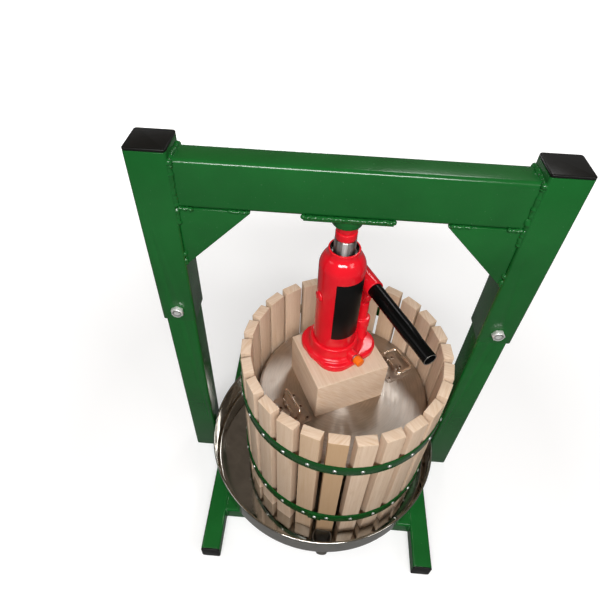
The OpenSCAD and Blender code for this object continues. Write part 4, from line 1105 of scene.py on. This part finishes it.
class PRESS_OT_inner_parts(bpy.types.Operator):
    """Finishes the solids that stay in view as they are"""

    bl_idname = "press.inner_parts"
    bl_label = "Inner parts"

    def execute(self, context):
        for node in ("jack_cylinder", "ram_gland", "valve_balls"):
            coat_node(node, "ground")
        coat_node("ram_seal", "rubber")
        coat_node("release_valve", "zinc")
        return {"FINISHED"}


# Stage

# Name, place, aim, size and watts of each lamp
LAMPS = [
    ("key", (-0.05, -1.7, 2.0), (0, 0, 0.35), (1.5, 0.4), 60),
    ("right", (1.4, -1.2, 1.5), (0, 0, 0.3), (0.6, 0.6), 7),
    ("back", (0.5, 1.35, 2.05), (0, 0, 0.25), (0.5, 0.26), 5.5),
    ("rear", (-0.6, 2.2, 0.45), (0, 0, 0.4), (1.2, 0.5), 12),
    ("left", (-1.8, -0.5, 1.9), (0, 0, 0.3), (0.8, 0.8), 5),
]

# The photograph's camera: place in metres, turns in radians, focal length and width in pixels
CAMERA_AT = (-0.03381, -0.50305, 0.93993)
CAMERA_YAW, CAMERA_PITCH, CAMERA_ROLL = -0.04334, 0.79646, 0.04132
FOCAL_PIXELS, WIDE_PIXELS = 484.805, 600
SENSOR_MM = 36

# The floor's radius, the height of its raised edge and the bend between
FLOOR_R, FLOOR_RISE, FLOOR_BEND = 7, 3.4, 1.5


class PRESS_OT_stage(bpy.types.Operator):
    """Lays the pale floor, hangs the lamps and sets the camera"""

    bl_idname = "press.stage"
    bl_label = "Stage"

    def execute(self, context):
        scene, colours = context.scene, context.scene.press_colours
        bm = spun([(0, 0), (FLOOR_R, 0), (FLOOR_R, FLOOR_RISE)], [(1, FLOOR_BEND, 12)], steps=72)
        mesh = bpy.data.meshes.new("floor")
        bm.to_mesh(mesh)
        bm.free()
        floor = bpy.data.objects.new("floor", mesh)
        scene.collection.objects.link(floor)
        mesh.materials.append(floor_finish(colours.floor[:], colours.dim[:], colours.mirrored))
        for row in LAMPS:
            lamp(scene, *row)
        scene.world = studio(colours.sky[:])
        scene.view_settings.view_transform = "Standard"
        scene.camera = camera(scene)
        return {"FINISHED"}


def studio(sky):
    """A world that is white to the camera and lights the press with a dim sky."""
    world = bpy.data.worlds.new("studio")
    world.use_nodes = True
    tree = world.node_tree
    seen = tree.nodes.new("ShaderNodeMix")
    seen.data_type = "RGBA"
    seen.inputs[6].default_value = (*sky, 1)
    seen.inputs[7].default_value = (1, 1, 1, 1)
    tree.links.new(tree.nodes.new("ShaderNodeLightPath").outputs["Is Camera Ray"], seen.inputs[0])
    tree.links.new(seen.outputs[2], tree.nodes["Background"].inputs["Color"])
    return world


def floor_finish(rgb, dim, mirrored):
    """A floor that is white to the camera and greyer in reflections, and throws little light back."""
    f = Finish("pale_floor", rgb, Roughness=0.9, Specular_IOR_Level=0.0)
    rays = f.add("ShaderNodeLightPath").outputs
    bounced = f.math("ADD", rays["Is Glossy Ray"], rays["Is Transmission Ray"])
    seen = f.math("MAXIMUM", rays["Is Camera Ray"], f.math("MULTIPLY", bounced, mirrored))
    f.put("Base Color", f.mix(seen, dim, rgb))
    f.surface.inputs["Emission Color"].default_value = (1, 1, 1, 1)
    away = f.add("ShaderNodeVectorMath", {0: f.where()}, operation="LENGTH").outputs["Value"]
    f.put("Emission Strength", f.math("MULTIPLY", seen, f.spread(away, 0.5, 1.6, 0.42, 1.0)))
    return f.material


def lamp(scene, name, at, aim, size, watts):
    light = bpy.data.lights.new(name, "AREA")
    light.shape = "RECTANGLE"
    light.size, light.size_y = size
    light.energy = watts
    obj = bpy.data.objects.new(name, light)
    obj.location = at
    obj.rotation_euler = (Vector(aim) - Vector(at)).to_track_quat("-Z", "Y").to_euler()
    scene.collection.objects.link(obj)


def camera(scene):
    """Sets up the photograph's camera."""
    yaw, pitch, roll = CAMERA_YAW, CAMERA_PITCH, CAMERA_ROLL
    level = math.cos(pitch)
    forward = Vector((math.sin(yaw) * level, math.cos(yaw) * level, -math.sin(pitch)))
    right = Vector((math.cos(yaw), -math.sin(yaw), 0))
    up = right.cross(forward)
    across = math.cos(roll) * right + math.sin(roll) * up
    above = math.cos(roll) * up - math.sin(roll) * right
    data = bpy.data.cameras.new("photo_camera")
    data.sensor_width = SENSOR_MM
    data.lens = FOCAL_PIXELS / WIDE_PIXELS * SENSOR_MM
    data.clip_start = 0.01
    obj = bpy.data.objects.new("photo_camera", data)
    aim = Matrix((across, above, -forward)).transposed()
    obj.matrix_world = Matrix.Translation(CAMERA_AT) @ aim.to_4x4()
    scene.collection.objects.link(obj)
    return obj


STEPS = [
    PRESS_OT_finishes, PRESS_OT_frame_tubes, PRESS_OT_caps, PRESS_OT_bolts, PRESS_OT_welds, PRESS_OT_staves,
    PRESS_OT_hoops, PRESS_OT_tray, PRESS_OT_plate, PRESS_OT_block, PRESS_OT_jack_body, PRESS_OT_ram,
    PRESS_OT_pump, PRESS_OT_valve, PRESS_OT_inner_parts, PRESS_OT_stage,
]


class PRESS_PT_panel(bpy.types.Panel):
    """Lists the steps that dress the press"""

    bl_idname = "PRESS_PT_panel"
    bl_label = "Wine Press"
    bl_space_type = "VIEW_3D"
    bl_region_type = "UI"
    bl_category = "Wine Press"

    def draw(self, context):
        for step in STEPS:
            self.layout.operator(step.bl_idname)


CLASSES = [PressSizes, PressColours, *STEPS, PRESS_PT_panel]


def register():
    for cls in CLASSES:
        bpy.utils.register_class(cls)
    bpy.types.Scene.press_sizes = bpy.props.PointerProperty(type=PressSizes)
    bpy.types.Scene.press_colours = bpy.props.PointerProperty(type=PressColours)


def unregister():
    del bpy.types.Scene.press_colours
    del bpy.types.Scene.press_sizes
    for cls in reversed(CLASSES):
        bpy.utils.unregister_class(cls)


def main():
    register()
    for step in STEPS:
        family, name = step.bl_idname.split(".")
        getattr(getattr(bpy.ops, family), name)()


if __name__ == "__main__":
    main()
